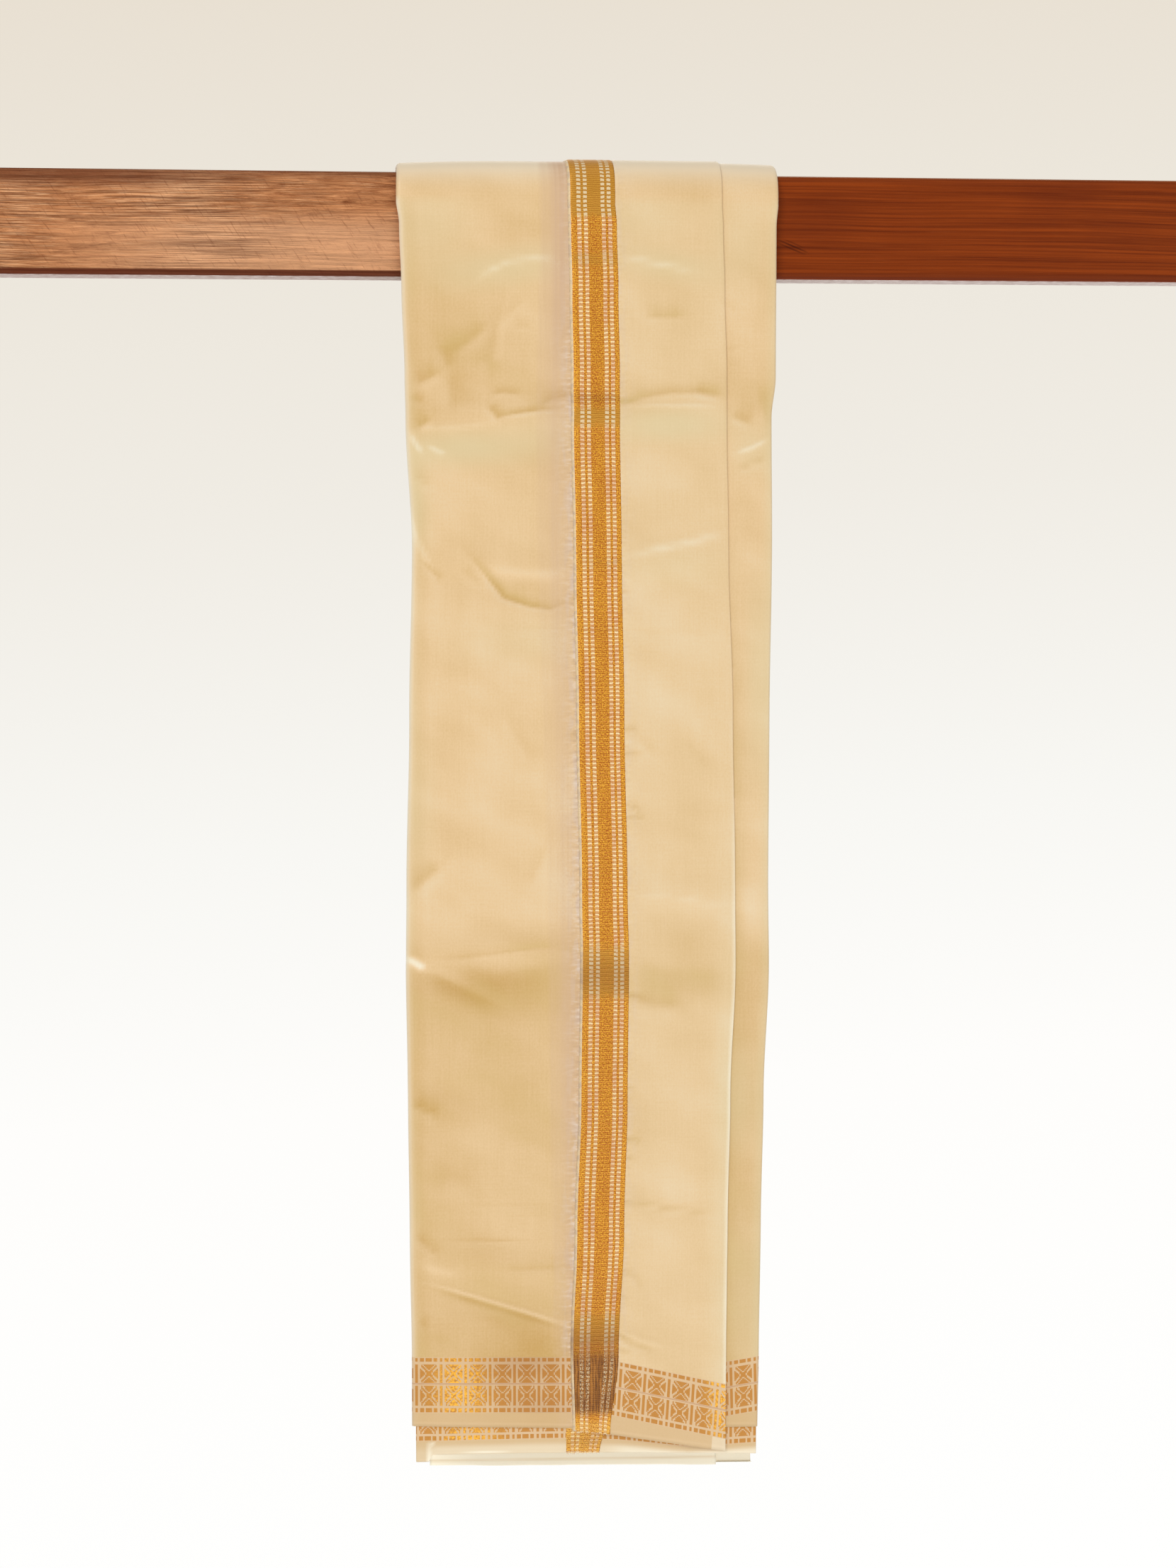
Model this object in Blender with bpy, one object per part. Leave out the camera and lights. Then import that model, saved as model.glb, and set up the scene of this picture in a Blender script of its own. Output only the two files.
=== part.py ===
"""A folded silk dhoti hung over a wooden rail.

Metres, +Z up, +X along the rail, the front faces -Y. The origin is the middle of the rail.
The cloth is one woven length, folded end to end and then into a strip. Both woven ends hang
at the front and the turned fold hangs at the back. Sizes below are in millimetres.
"""

from math import cos, pi, radians, sin

import bmesh
import bpy

MM = 0.001

# Rail
RAIL_LENGTH = 920.0
RAIL_DEPTH = 50.0
RAIL_HEIGHT = 75.0
RAIL_EDGE = 2.5
HALF_DEPTH = RAIL_DEPTH / 2
RAIL_TOP = RAIL_HEIGHT / 2

# Cloth layers: how far each lies out from the face of the rail
GAP = 0.3
WALL = 1.2
PACK_THICK = 4.5
SECOND_IN = GAP + PACK_THICK + GAP
SECOND_OUT = SECOND_IN + WALL
MAIN_IN = SECOND_OUT + GAP
MAIN_OUT = MAIN_IN + WALL
FLAP_IN = MAIN_OUT + GAP
FLAP_OUT = FLAP_IN + WALL
LOOP_IN = GAP
LOOP_OUT = LOOP_IN + WALL

# The rounded bend over the rail
SPRING_Z = 15.0
BEND_SQUARENESS = 3.0
BEND_PUFF = 4.4
LEFT_SHOULDER_X, LEFT_SHOULDER_WIDTH, LEFT_SHOULDER_FALL = -50.0, 92.0, 4.2
RIGHT_SHOULDER_X, RIGHT_SHOULDER_WIDTH, RIGHT_SHOULDER_FALL = 96.0, 44.0, 1.6
BEND_ANGLES = range(180, -1, -15)

# Ends and folds, as heights at the left edge, the middle and the right edge
MAIN_HEM = (-880.0, -886.5, -890.0)
FLAP_HEM = (-882.0, -888.5, -909.0)
SECOND_HEM = (-902.0, -905.0, -911.0)
PACK_HEM = (-892.0, -896.0, -902.0)
BACK_FOLD = (-926.0, -930.0, -934.0)
LOOP_FOLD = (-926.5, -931.0, -935.3)
EDGE_X = 130.0
PACK_END_UP = 2.0

# The turned fold at the foot of the back drop
TURN_DEPTH = 3.0
TURN_UP = MAIN_OUT - TURN_DEPTH
TURN_ANGLES = (30, 60, 85)

# Sideways places of the edges down the front
FRONT_SECTIONS = (
    # z, left, border_left, border_right, fold, right
    (20, -141.0, -15.0, 17.5, 96.0, 138.5),
    (0, -138.5, -14.4, 19.0, 97.0, 137.0),
    (-47, -137.0, -13.5, 20.1, 98.3, 137.0),
    (-108, -135.0, -12.5, 21.3, 100.1, 137.0),
    (-138, -134.5, -12.4, 21.3, 100.2, 134.0),
    (-231, -130.2, -10.8, 22.6, 101.7, 134.8),
    (-355, -132.7, -8.7, 24.8, 105.4, 133.5),
    (-480, -135.3, -6.5, 27.2, 107.6, 133.0),
    (-540, -136.0, -5.9, 28.4, 108.2, 133.8),
    (-640, -134.9, -7.0, 27.4, 104.6, 130.2),
    (-735, -134.1, -10.0, 25.0, 102.9, 128.6),
    (-830, -132.9, -13.0, 20.9, 102.1, 127.5),
    (-890, -133.0, -11.5, 14.5, 101.9, 126.7),
)
# The same down the back
BACK_SECTIONS = (
    # z, left, border_left, border_right, fold, right
    (20, -141.0, -15.0, 17.5, 96.0, 138.5),
    (-32, -131.0, -14.4, 18.5, 97.0, 137.5),
    (-150, -127.5, -13.0, 20.5, 99.0, 136.0),
    (-231, -123.4, -12.4, 21.3, 100.2, 135.4),
    (-355, -125.4, -11.6, 22.2, 101.8, 134.6),
    (-540, -128.0, -11.4, 22.8, 103.4, 134.0),
    (-750, -126.4, -13.0, 21.0, 104.0, 134.0),
    (-930, -122.6, -14.0, 20.0, 105.0, 134.5),
)
EDGE_NAMES = ("left", "border_left", "border_right", "fold", "right")
# The other end's border, under the main panel
SECOND_SECTIONS = (
    # z, left, right
    (0, -29.0, 3.0),
    (-138, -32.0, 1.0),
    (-558, -23.0, 9.0),
    (-880, -18.5, 8.0),
    (-905, -18.0, 7.0),
)
SECOND_NAMES = ("left", "right")
# How many even steps the grid takes between neighbouring edges
STEPS_BETWEEN = (5, 2, 3, 1)

# The largest folds: soft swells (depth above 0) and hollows (depth below 0)
FRONT_FOLDS = (
    # x, z, half_length, half_height, tilt, depth
    (0, -36, 170, 26, 0, 0.8),
    (-40, -116, 110, 15, 2, -1.1),
    (-30, -136, 150, 14, 1, 1.4),
    (-62, -262, 95, 17, -8, -1.3),
    (-50, -243, 110, 15, -5, 1.0),
    (62, -243, 95, 20, 8, 1.1),
    (-60, -524, 150, 16, 2, 1.5),
    (-104, -546, 80, 18, -3, -1.3),
    (68, -486, 95, 18, -3, 1.0),
    (-112, -628, 75, 17, -12, -1.2),
    (-58, -762, 125, 16, -8, 1.3),
    (-62, -790, 120, 17, -6, -0.9),
    (66, -770, 95, 30, 8, -0.8),
)
BACK_FOLDS = (
    # x, z, half_length, half_height, tilt, depth
    (10, -130, 150, 16, -2, 1.4),
    (-70, -240, 95, 18, 7, -1.2),
    (60, -262, 95, 16, -6, 1.1),
    (0, -520, 150, 17, 3, 1.5),
    (80, -540, 90, 18, -5, -1.3),
    (-112, -640, 75, 18, 10, -1.2),
    (20, -772, 125, 17, 6, 1.2),
)
FRONT_ROWS = (-862, -830, -806, -784, -762, -735, -690, -648, -626, -600, -565, -545, -524,
              -504, -484, -440, -380, -320, -284, -262, -243, -222, -190, -160, -136, -116,
              -96, -64, -36, -10)
BACK_ROWS = (-20, -44, -90, -130, -180, -240, -262, -320, -420, -500, -520, -540, -600,
             -640, -700, -752, -772, -796, -850, -900)
LOOP_ROWS = (-48, -240, -420, -600, -760, -860, -905)

# The hidden layers' side edges
PACK_INSET = 2.2
FOLD_EDGES = 3
EDGE_DEPTH = 1.3
LOOP_INSET = 8.0

SILK = (0.80, 0.62, 0.36)
GOLD = (0.74, 0.42, 0.09)
WOOD = (0.36, 0.13, 0.045)


def smooth(t):
    """0 below 0, 1 above 1 and an even ease between."""
    t = min(1.0, max(0.0, t))
    return t * t * (3 - 2 * t)


def section(table, names, z):
    """The places at height z, by name, eased between the table's rows."""
    z = min(table[0][0], max(table[-1][0], z))
    for upper, lower in zip(table, table[1:]):
        if z >= lower[0]:
            share = smooth((upper[0] - z) / (upper[0] - lower[0]))
            return {name: u + (v - u) * share for name, u, v in zip(names, upper[1:], lower[1:])}


def level(three, x):
    """A height that runs through its values at the left edge, the middle and the right edge."""
    left, middle, right = three
    share = min(1.0, abs(x) / EDGE_X)
    return middle + ((right if x > 0 else left) - middle) * share


def relief(folds, x, z):
    """How far the surface stands proud of its plane at x, z."""
    total = 0.0
    for fold_x, fold_z, half_length, half_height, tilt, depth in folds:
        c, s = cos(radians(tilt)), sin(radians(tilt))
        along = ((x - fold_x) * c + (z - fold_z) * s) / half_length
        over = ((z - fold_z) * c - (x - fold_x) * s) / half_height
        if abs(along) < 1 and abs(over) < 1:
            total += depth * (1 - smooth(abs(along))) * cos(over * pi / 2) ** 2
    return total


def bend_puff(x):
    """How high the bend stands off the rail at x: it falls away at the strip's two edges."""
    left = max(0.0, (LEFT_SHOULDER_X - x) / LEFT_SHOULDER_WIDTH)
    right = max(0.0, (x - RIGHT_SHOULDER_X) / RIGHT_SHOULDER_WIDTH)
    return BEND_PUFF - LEFT_SHOULDER_FALL * left ** 2 - RIGHT_SHOULDER_FALL * right ** 2


# A station is a place along the drape: (kind, value, drop). The kinds are "front" and "back"
# with a height, "front_end" and "back_end" with an end's three heights and how far below
# them, "bend" with an angle over the rail, and "turn" with an angle at the back's foot.


def height_of(station):
    """The height at which a station's edges are looked up."""
    kind, value = station[0], station[1]
    if kind == "bend":
        return FRONT_SECTIONS[0][0]
    if kind == "turn":
        return BACK_FOLD[1]
    return value[1] if kind.endswith("end") else value


def edges_at(station):
    """The shared edges at a station, by name."""
    at_back = station[0] in ("back", "back_end", "turn")
    return section(BACK_SECTIONS if at_back else FRONT_SECTIONS, EDGE_NAMES, height_of(station))


def columns_at(station):
    """The shared grid's places across the strip at a station."""
    at = edges_at(station)
    places = [at["left"]]
    for start, end, steps in zip(EDGE_NAMES, EDGE_NAMES[1:], STEPS_BETWEEN):
        step = (at[end] - at[start]) / steps
        places += [at[start] + step * (i + 1) for i in range(steps)]
    return places


def place(station, x, depth, soft=1.0):
    """The point at a station, x along the rail and depth out from the rail's face.

    soft is the share of the folds' relief that this surface follows.
    """
    kind, value, drop = station
    out = HALF_DEPTH + depth
    if kind == "bend":
        c, s = cos(radians(value)), sin(radians(value))
        power = 2 / BEND_SQUARENESS
        rise = RAIL_TOP + depth + bend_puff(x) - SPRING_Z
        y = out * abs(c) ** power * (1 if c > 0 else -1)
        return (x, y, SPRING_Z + rise * max(0.0, s) ** power)
    if kind == "turn":
        radius = depth - TURN_DEPTH
        y = HALF_DEPTH + TURN_DEPTH + radius * cos(radians(value))
        return (x, y, level(BACK_FOLD, x) + TURN_UP - radius * sin(radians(value)))
    z = level(value, x) - drop if kind.endswith("end") else value
    if kind.startswith("front"):
        return (x, -out - soft * relief(FRONT_FOLDS, x, z), z)
    return (x, out + soft * relief(BACK_FOLDS, x, z), z)


def hug(station, x, depth):
    """The innermost face: flat along the rail's front, top and back."""
    kind, value, _ = station
    if kind != "bend":
        return place(station, x, depth, soft=0.0)
    c, s = cos(radians(value)), sin(radians(value))
    reach = max(abs(c), s)
    rise = RAIL_TOP + depth - SPRING_Z
    return (x, (HALF_DEPTH + depth) * c / reach, SPRING_Z + rise * s / reach)


def link(name, mesh, look):
    """Turn a finished bmesh into a named object."""
    data = bpy.data.meshes.new(name)
    mesh.to_mesh(data)
    mesh.free()
    data.materials.append(look)
    made = bpy.data.objects.new(name, data)
    bpy.context.scene.collection.objects.link(made)
    return made


def solid(name, rings, columns, look):
    """One closed solid through rings of equal count.

    Each ring holds the outer face left to right, the right side, the inner face right to
    left, and the left side. columns is how many points each face has. The squares are split
    along the same corners on both faces, so that neighbouring layers keep their gap.
    """
    mesh = bmesh.new()
    loops = [[mesh.verts.new([v * MM for v in point]) for point in ring] for ring in rings]
    count = len(rings[0])
    sides = (count - 2 * columns) // 2
    inner_first = columns + sides
    for low, high in zip(loops, loops[1:]):
        for i in range(count):
            j = (i + 1) % count
            if inner_first <= i < inner_first + columns - 1:
                mesh.faces.new((low[i], low[j], high[i]))
                mesh.faces.new((low[j], high[j], high[i]))
            else:
                mesh.faces.new((low[i], low[j], high[j]))
                mesh.faces.new((low[i], high[j], high[i]))
    for loop in (loops[0], loops[-1]):
        outer, right = loop[:columns], loop[columns:columns + sides]
        inner, left = loop[columns + sides:2 * columns + sides][::-1], loop[2 * columns + sides:]
        for i in range(columns - 1):
            mesh.faces.new((outer[i], outer[i + 1], inner[i + 1], inner[i]))
        mesh.faces.new([outer[-1], *right, inner[-1]])
        mesh.faces.new([inner[0], *left, outer[0]])
    bmesh.ops.recalc_face_normals(mesh, faces=mesh.faces)
    made = link(name, mesh, look)
    made.data.shade_smooth()
    made.data.set_sharp_from_angle(angle=radians(50))
    return made


def wall_ring(station, xs, depths, soft=1.0, squeeze=0.0):
    """A wall's ring at a station, through the places xs, with a rounded edge at each side."""
    inner, outer = depths[0] + squeeze, depths[1] - squeeze
    round_in = (outer - inner) / 2
    middle = (inner + outer) / 2
    face = [xs[0] + round_in, *xs[1:-1], xs[-1] - round_in]
    return (
        [place(station, x, outer, soft) for x in face]
        + [place(station, xs[-1], middle, soft)]
        + [place(station, x, inner, soft) for x in reversed(face)]
        + [place(station, xs[0], middle, soft)]
    )


def down_front(hem):
    """The stations from a front end up to the bend."""
    rows = [("front", z, 0.0) for z in FRONT_ROWS if z > max(hem) + 8]
    return [("front_end", hem, 0.0)] + rows


def whole_drape(hem):
    """The stations from a front end, over the rail and round the back's turned fold."""
    return (
        down_front(hem)
        + [("bend", angle, 0.0) for angle in BEND_ANGLES]
        + [("back", z, 0.0) for z in BACK_ROWS]
        + [("back_end", BACK_FOLD, -TURN_UP)]
        + [("turn", angle, 0.0) for angle in TURN_ANGLES]
    )


def main_panel(silk):
    """The broad outer layer, from the left fold to the right fold."""
    rings = [wall_ring(st, columns_at(st), (MAIN_IN, MAIN_OUT)) for st in whole_drape(MAIN_HEM)]
    return solid("main_panel", rings, sum(STEPS_BETWEEN) + 1, silk)


def part_of_grid(station, first, last, trim_left=0.0, trim_right=0.0):
    """The shared grid's places from one edge to another, the two ends moved in."""
    at = edges_at(station)
    xs = [x for x in columns_at(station) if at[first] - 0.01 <= x <= at[last] + 0.01]
    return [xs[0] + trim_left, *xs[1:-1], xs[-1] - trim_right]


def flap(silk):
    """The narrow layer on top, from the border to its fold at the right."""
    rings = [
        wall_ring(st, part_of_grid(st, "border_right", "fold", GAP / 2), (FLAP_IN, FLAP_OUT))
        for st in whole_drape(FLAP_HEM)
    ]
    return solid("flap", rings, STEPS_BETWEEN[2] + 1, silk)


def selvedge_border(gold):
    """The gold border woven along the flap's left edge."""
    rings = [
        wall_ring(st, part_of_grid(st, "border_left", "border_right", 0.0, GAP / 2),
                  (FLAP_IN, FLAP_OUT))
        for st in whole_drape(FLAP_HEM)
    ]
    return solid("selvedge_border", rings, STEPS_BETWEEN[1] + 1, gold)


def second_layer(name, places, look):
    """A sheet of the cloth's other end. places gives its xs from the grid and the border's edges."""
    rings = []
    for station in down_front(SECOND_HEM):
        border = section(SECOND_SECTIONS, SECOND_NAMES, height_of(station))
        xs = places(columns_at(station), border["left"], border["right"])
        rings.append(wall_ring(station, xs, (SECOND_IN, SECOND_OUT)))
    return solid(name, rings, len(xs), look)


def second_end(silk):
    """The other end's panel, left of its border."""
    return second_layer(
        "second_end", lambda grid, left, right: [grid[0] + 3.0, *grid[1:5], left - GAP / 2], silk)


def second_border(gold):
    """The other end's gold border, whose tip shows below the first hem."""
    return second_layer(
        "second_border",
        lambda grid, left, right: [left + GAP / 2, (left + right) / 2, right - GAP / 2], gold)


def second_flap(silk):
    """The other end's panel, right of its border."""
    return second_layer(
        "second_flap",
        lambda grid, left, right: [right + GAP / 2, *grid[7:11], grid[11] - 1.0], silk)


def back_loop(silk):
    """The lowest sheet of the turned fold, on the back drop's side that faces the rail."""
    middle = (LOOP_IN + LOOP_OUT) / 2
    half = WALL / 2

    def ring(station, squeeze=0.0):
        xs = part_of_grid(station, "left", "fold", LOOP_INSET)
        return wall_ring(station, xs, (middle - half, middle + half), 0.0, squeeze)

    rings = [ring(("back", z, 0.0)) for z in LOOP_ROWS]
    rings += [ring(("back_end", LOOP_FOLD, -1.0)), ring(("back_end", LOOP_FOLD, -0.4), 0.2)]
    rings += [ring(("back_end", LOOP_FOLD, 0.0), 0.45)]
    return solid("back_loop", rings, len(rings[0]) // 2 - 1, silk)


def inner_folds(silk):
    """The hidden layers as one solid, with a rounded fold edge for each group of layers."""

    def ring(station, faces, shrink=0.0):
        """shrink is the share of its thickness that an end ring has lost."""
        xs = part_of_grid(station, "left", "right", PACK_INSET, PACK_INSET)
        squeeze = (faces[1] - faces[0]) / 2 * shrink
        inner, outer = faces[0] + squeeze, faces[1] - squeeze

        def side(x, outwards):
            top, low = place(station, x, outer), hug(station, x, inner)
            points = []
            for step in range(1, 2 * FOLD_EDGES):
                share = step / (2 * FOLD_EDGES)
                shift = EDGE_DEPTH * outwards * (1 - shrink) if step % 2 else 0.0
                points.append((x + shift, top[1] + (low[1] - top[1]) * share,
                               top[2] + (low[2] - top[2]) * share))
            return points

        return ([place(station, x, outer) for x in xs] + side(xs[-1], 1)
                + [hug(station, x, inner) for x in reversed(xs)] + side(xs[0], -1)[::-1])

    front = (GAP, GAP + PACK_THICK)
    over = (GAP, SECOND_OUT)
    back = (LOOP_OUT + GAP, SECOND_OUT)
    rings = [ring(("front_end", PACK_HEM, 1.8), front, 0.7)]
    rings += [ring(("front_end", PACK_HEM, 1.2), front, 0.3)]
    rings += [ring(station, front) for station in down_front(PACK_HEM)]
    rings += [ring(("bend", angle, 0.0), over) for angle in BEND_ANGLES]
    rings += [ring(("back", z, 0.0), over if z > LOOP_ROWS[0] + 10 else back) for z in BACK_ROWS]
    for up, shrink in ((1.8, 0.0), (0.6, 0.3), (0.0, 0.7)):
        rings.append(ring(("back_end", BACK_FOLD, -up - PACK_END_UP), back, shrink))
    return solid("inner_folds", rings, sum(STEPS_BETWEEN) + 1, silk)


def rail(wood):
    """The wooden rail, with its long edges and cut ends eased."""
    mesh = bmesh.new()
    bmesh.ops.create_cube(mesh, size=1.0)
    for vert in mesh.verts:
        vert.co.x *= RAIL_LENGTH * MM
        vert.co.y *= RAIL_DEPTH * MM
        vert.co.z *= RAIL_HEIGHT * MM
    bmesh.ops.bevel(mesh, geom=mesh.edges[:], offset=RAIL_EDGE * MM, segments=2,
                    profile=0.5, affect="EDGES")
    return link("rail", mesh, wood)


def material(name, colour, roughness, metallic):
    """A Principled material of one colour."""
    made = bpy.data.materials.new(name)
    made.use_nodes = True
    shader = made.node_tree.nodes["Principled BSDF"]
    shader.inputs["Base Color"].default_value = (*colour, 1.0)
    shader.inputs["Roughness"].default_value = roughness
    shader.inputs["Metallic"].default_value = metallic
    return made


def main():
    for old in list(bpy.data.objects):
        bpy.data.objects.remove(old)
    silk = material("silk", SILK, 0.45, 0.0)
    gold = material("gold_thread", GOLD, 0.4, 0.6)
    wood = material("wood", WOOD, 0.5, 0.0)
    rail(wood)
    inner_folds(silk)
    second_end(silk)
    second_border(gold)
    second_flap(silk)
    back_loop(silk)
    main_panel(silk)
    flap(silk)
    selvedge_border(gold)


main()
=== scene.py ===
"""The looks of a folded silk dhoti over a wooden rail: thin cloth, woven gold and wood grain.

Sizes are in millimetres, and are turned into metres where a mesh is made. x runs along the
rail and z is up. A depth is how far a surface lies out from the face of the rail.
"""

from functools import partialmethod, reduce
from math import cos, pi, radians, sin

import bpy
import numpy as np
from mathutils import Matrix, Vector


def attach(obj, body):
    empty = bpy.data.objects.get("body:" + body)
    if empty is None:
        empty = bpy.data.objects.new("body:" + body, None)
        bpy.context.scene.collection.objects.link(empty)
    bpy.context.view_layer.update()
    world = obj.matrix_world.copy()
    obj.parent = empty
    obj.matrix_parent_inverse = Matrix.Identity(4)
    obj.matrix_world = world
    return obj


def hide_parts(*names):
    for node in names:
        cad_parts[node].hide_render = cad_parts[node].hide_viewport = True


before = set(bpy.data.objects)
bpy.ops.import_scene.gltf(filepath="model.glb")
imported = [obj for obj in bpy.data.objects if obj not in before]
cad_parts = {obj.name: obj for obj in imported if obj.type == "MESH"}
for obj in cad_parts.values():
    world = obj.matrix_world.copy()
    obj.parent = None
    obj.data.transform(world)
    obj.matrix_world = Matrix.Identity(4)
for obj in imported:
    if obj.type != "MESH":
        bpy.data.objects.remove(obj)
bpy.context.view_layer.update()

MM = 0.001

# Rail and layers, as in the solids
HALF_DEPTH = 25.0
RAIL_TOP = 37.5
PACK_OUT = 4.8
SECOND_OUT = 6.3
MAIN_OUT = 7.8
FLAP_OUT = 9.3
LOOP_IN = 0.3
LOOP_OUT = 1.5
PACK_BACK_IN = 1.8
PACK_FOOT_OUT = 4.0

# The rounded bend over the rail
SPRING_Z = 15.0
BEND_SQUARENESS = 3.0
# Over these angles the painted sheen on top of the bend fades out towards the front
PALE_SHEEN_ANGLES = (120.0, 176.0)
BEND_PUFF = 2.3
LEFT_SHOULDER_X, LEFT_SHOULDER_WIDTH, LEFT_SHOULDER_FALL = -50.0, 92.0, 2.5
RIGHT_SHOULDER_X, RIGHT_SHOULDER_WIDTH, RIGHT_SHOULDER_FALL = 96.0, 44.0, 0.9

# Ends and folds, as heights at the left edge, the middle and the right edge
MAIN_HEM = (-880.0, -886.5, -890.0)
FLAP_HEM = (-882.0, -888.5, -912.5)
SECOND_HEM = (-902.0, -905.0, -911.0)
PACK_HEM = (-892.0, -896.0, -902.0)
BACK_FOLD = (-926.0, -930.0, -934.0)
LOOP_FOLD = (-926.5, -931.0, -935.3)
EDGE_X = 130.0
# The back's lower left corner is rounded: where it starts, over what width and how far it lifts
CORNER_X, CORNER_WIDTH, CORNER_LIFT = -109.0, 9.0, 3.4
TURN_DEPTH = 3.0
TURN_UP = MAIN_OUT - TURN_DEPTH
# How much further the turned fold wraps where no lowest sheet lies in front of it
STRIP_TURN = 0.4
# The edges of the lowest sheet, past which the turned fold goes further
LOOP_EDGES = (-115, 103)
LEAN_REACH = 60.0

# Sideways places of the edges down the front
FRONT_SECTIONS = (
    # z, left, border_left, border_right, fold, right
    (20, -141.0, -15.0, 17.5, 96.0, 138.5),
    (0, -138.5, -14.4, 19.0, 97.0, 137.0),
    (-47, -137.0, -13.5, 20.1, 98.3, 137.0),
    (-108, -135.0, -12.5, 21.3, 100.1, 137.0),
    (-138, -134.5, -12.4, 21.3, 100.2, 134.0),
    (-231, -130.2, -10.8, 22.6, 101.7, 134.8),
    (-355, -132.7, -8.7, 24.8, 105.4, 133.5),
    (-480, -135.3, -6.5, 27.2, 107.6, 133.0),
    (-540, -136.0, -5.9, 28.4, 108.2, 133.8),
    (-640, -134.9, -7.0, 27.4, 104.6, 130.2),
    (-735, -134.1, -10.0, 25.0, 102.9, 128.6),
    (-830, -132.9, -13.0, 20.9, 102.1, 127.5),
    (-890, -133.0, -11.5, 14.5, 101.9, 126.7),
)
# The same down the back
BACK_SECTIONS = (
    # z, left, border_left, border_right, fold, right
    (20, -135.5, -15.0, 17.5, 96.0, 138.5),
    (-32, -131.0, -14.4, 18.5, 97.0, 137.5),
    (-150, -127.5, -13.0, 20.5, 99.0, 136.0),
    (-231, -123.4, -12.4, 21.3, 100.2, 135.4),
    (-355, -125.4, -11.6, 22.2, 101.8, 134.6),
    (-540, -128.0, -11.4, 22.8, 103.4, 134.0),
    (-750, -126.4, -13.0, 21.0, 104.0, 134.0),
    (-930, -122.6, -14.0, 20.0, 105.0, 134.5),
)
EDGE_COLUMNS = {"left": 1, "border_left": 2, "border_right": 3, "fold": 4, "right": 5}
# The other end's border, under the main panel
SECOND_SECTIONS = (
    # z, left, right
    (0, -29.0, 3.0),
    (-138, -32.0, 1.0),
    (-558, -23.0, 9.0),
    (-880, -18.5, 12.5),
    (-905, -18.0, 7.0),
)

# How plainly that border shows through the main panel: place below the top, share
UNDER_STRENGTH = ((-15, 1.0), (60, 0.9), (110, 0.65), (150, 0.6), (350, 0.45), (510, 0.5),
                  (560, 0.8), (650, 0.8), (710, 0.55), (760, 0.8), (820, 0.6), (890, 0.7))

# The largest folds, as in the solids
FRONT_FOLDS = (
    # x, z, half_length, half_height, tilt, depth
    (0, -36, 170, 26, 0, 0.8),
    (-40, -116, 110, 15, 2, -1.1),
    (-30, -136, 150, 14, 1, 1.4),
    (-62, -262, 95, 17, -8, -1.3),
    (-50, -243, 110, 15, -5, 1.0),
    (62, -243, 95, 20, 8, 1.1),
    (-60, -524, 150, 16, 2, 1.5),
    (-104, -546, 80, 18, -3, -1.3),
    (68, -486, 95, 18, -3, 1.0),
    (-112, -628, 75, 17, -12, -1.2),
    (-58, -762, 125, 16, -8, 1.3),
    (-62, -790, 120, 17, -6, -0.9),
    (66, -770, 95, 30, 8, -0.8),
)
BACK_FOLDS = (
    # x, z, half_length, half_height, tilt, depth
    (10, -130, 150, 16, -2, 1.4),
    (-70, -240, 95, 18, 7, -1.2),
    (60, -262, 95, 16, -6, 1.1),
    (0, -520, 150, 17, 3, 1.5),
    (80, -540, 90, 18, -5, -1.3),
    (-112, -640, 75, 18, 10, -1.2),
    (20, -772, 125, 17, 6, 1.2),
)
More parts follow.
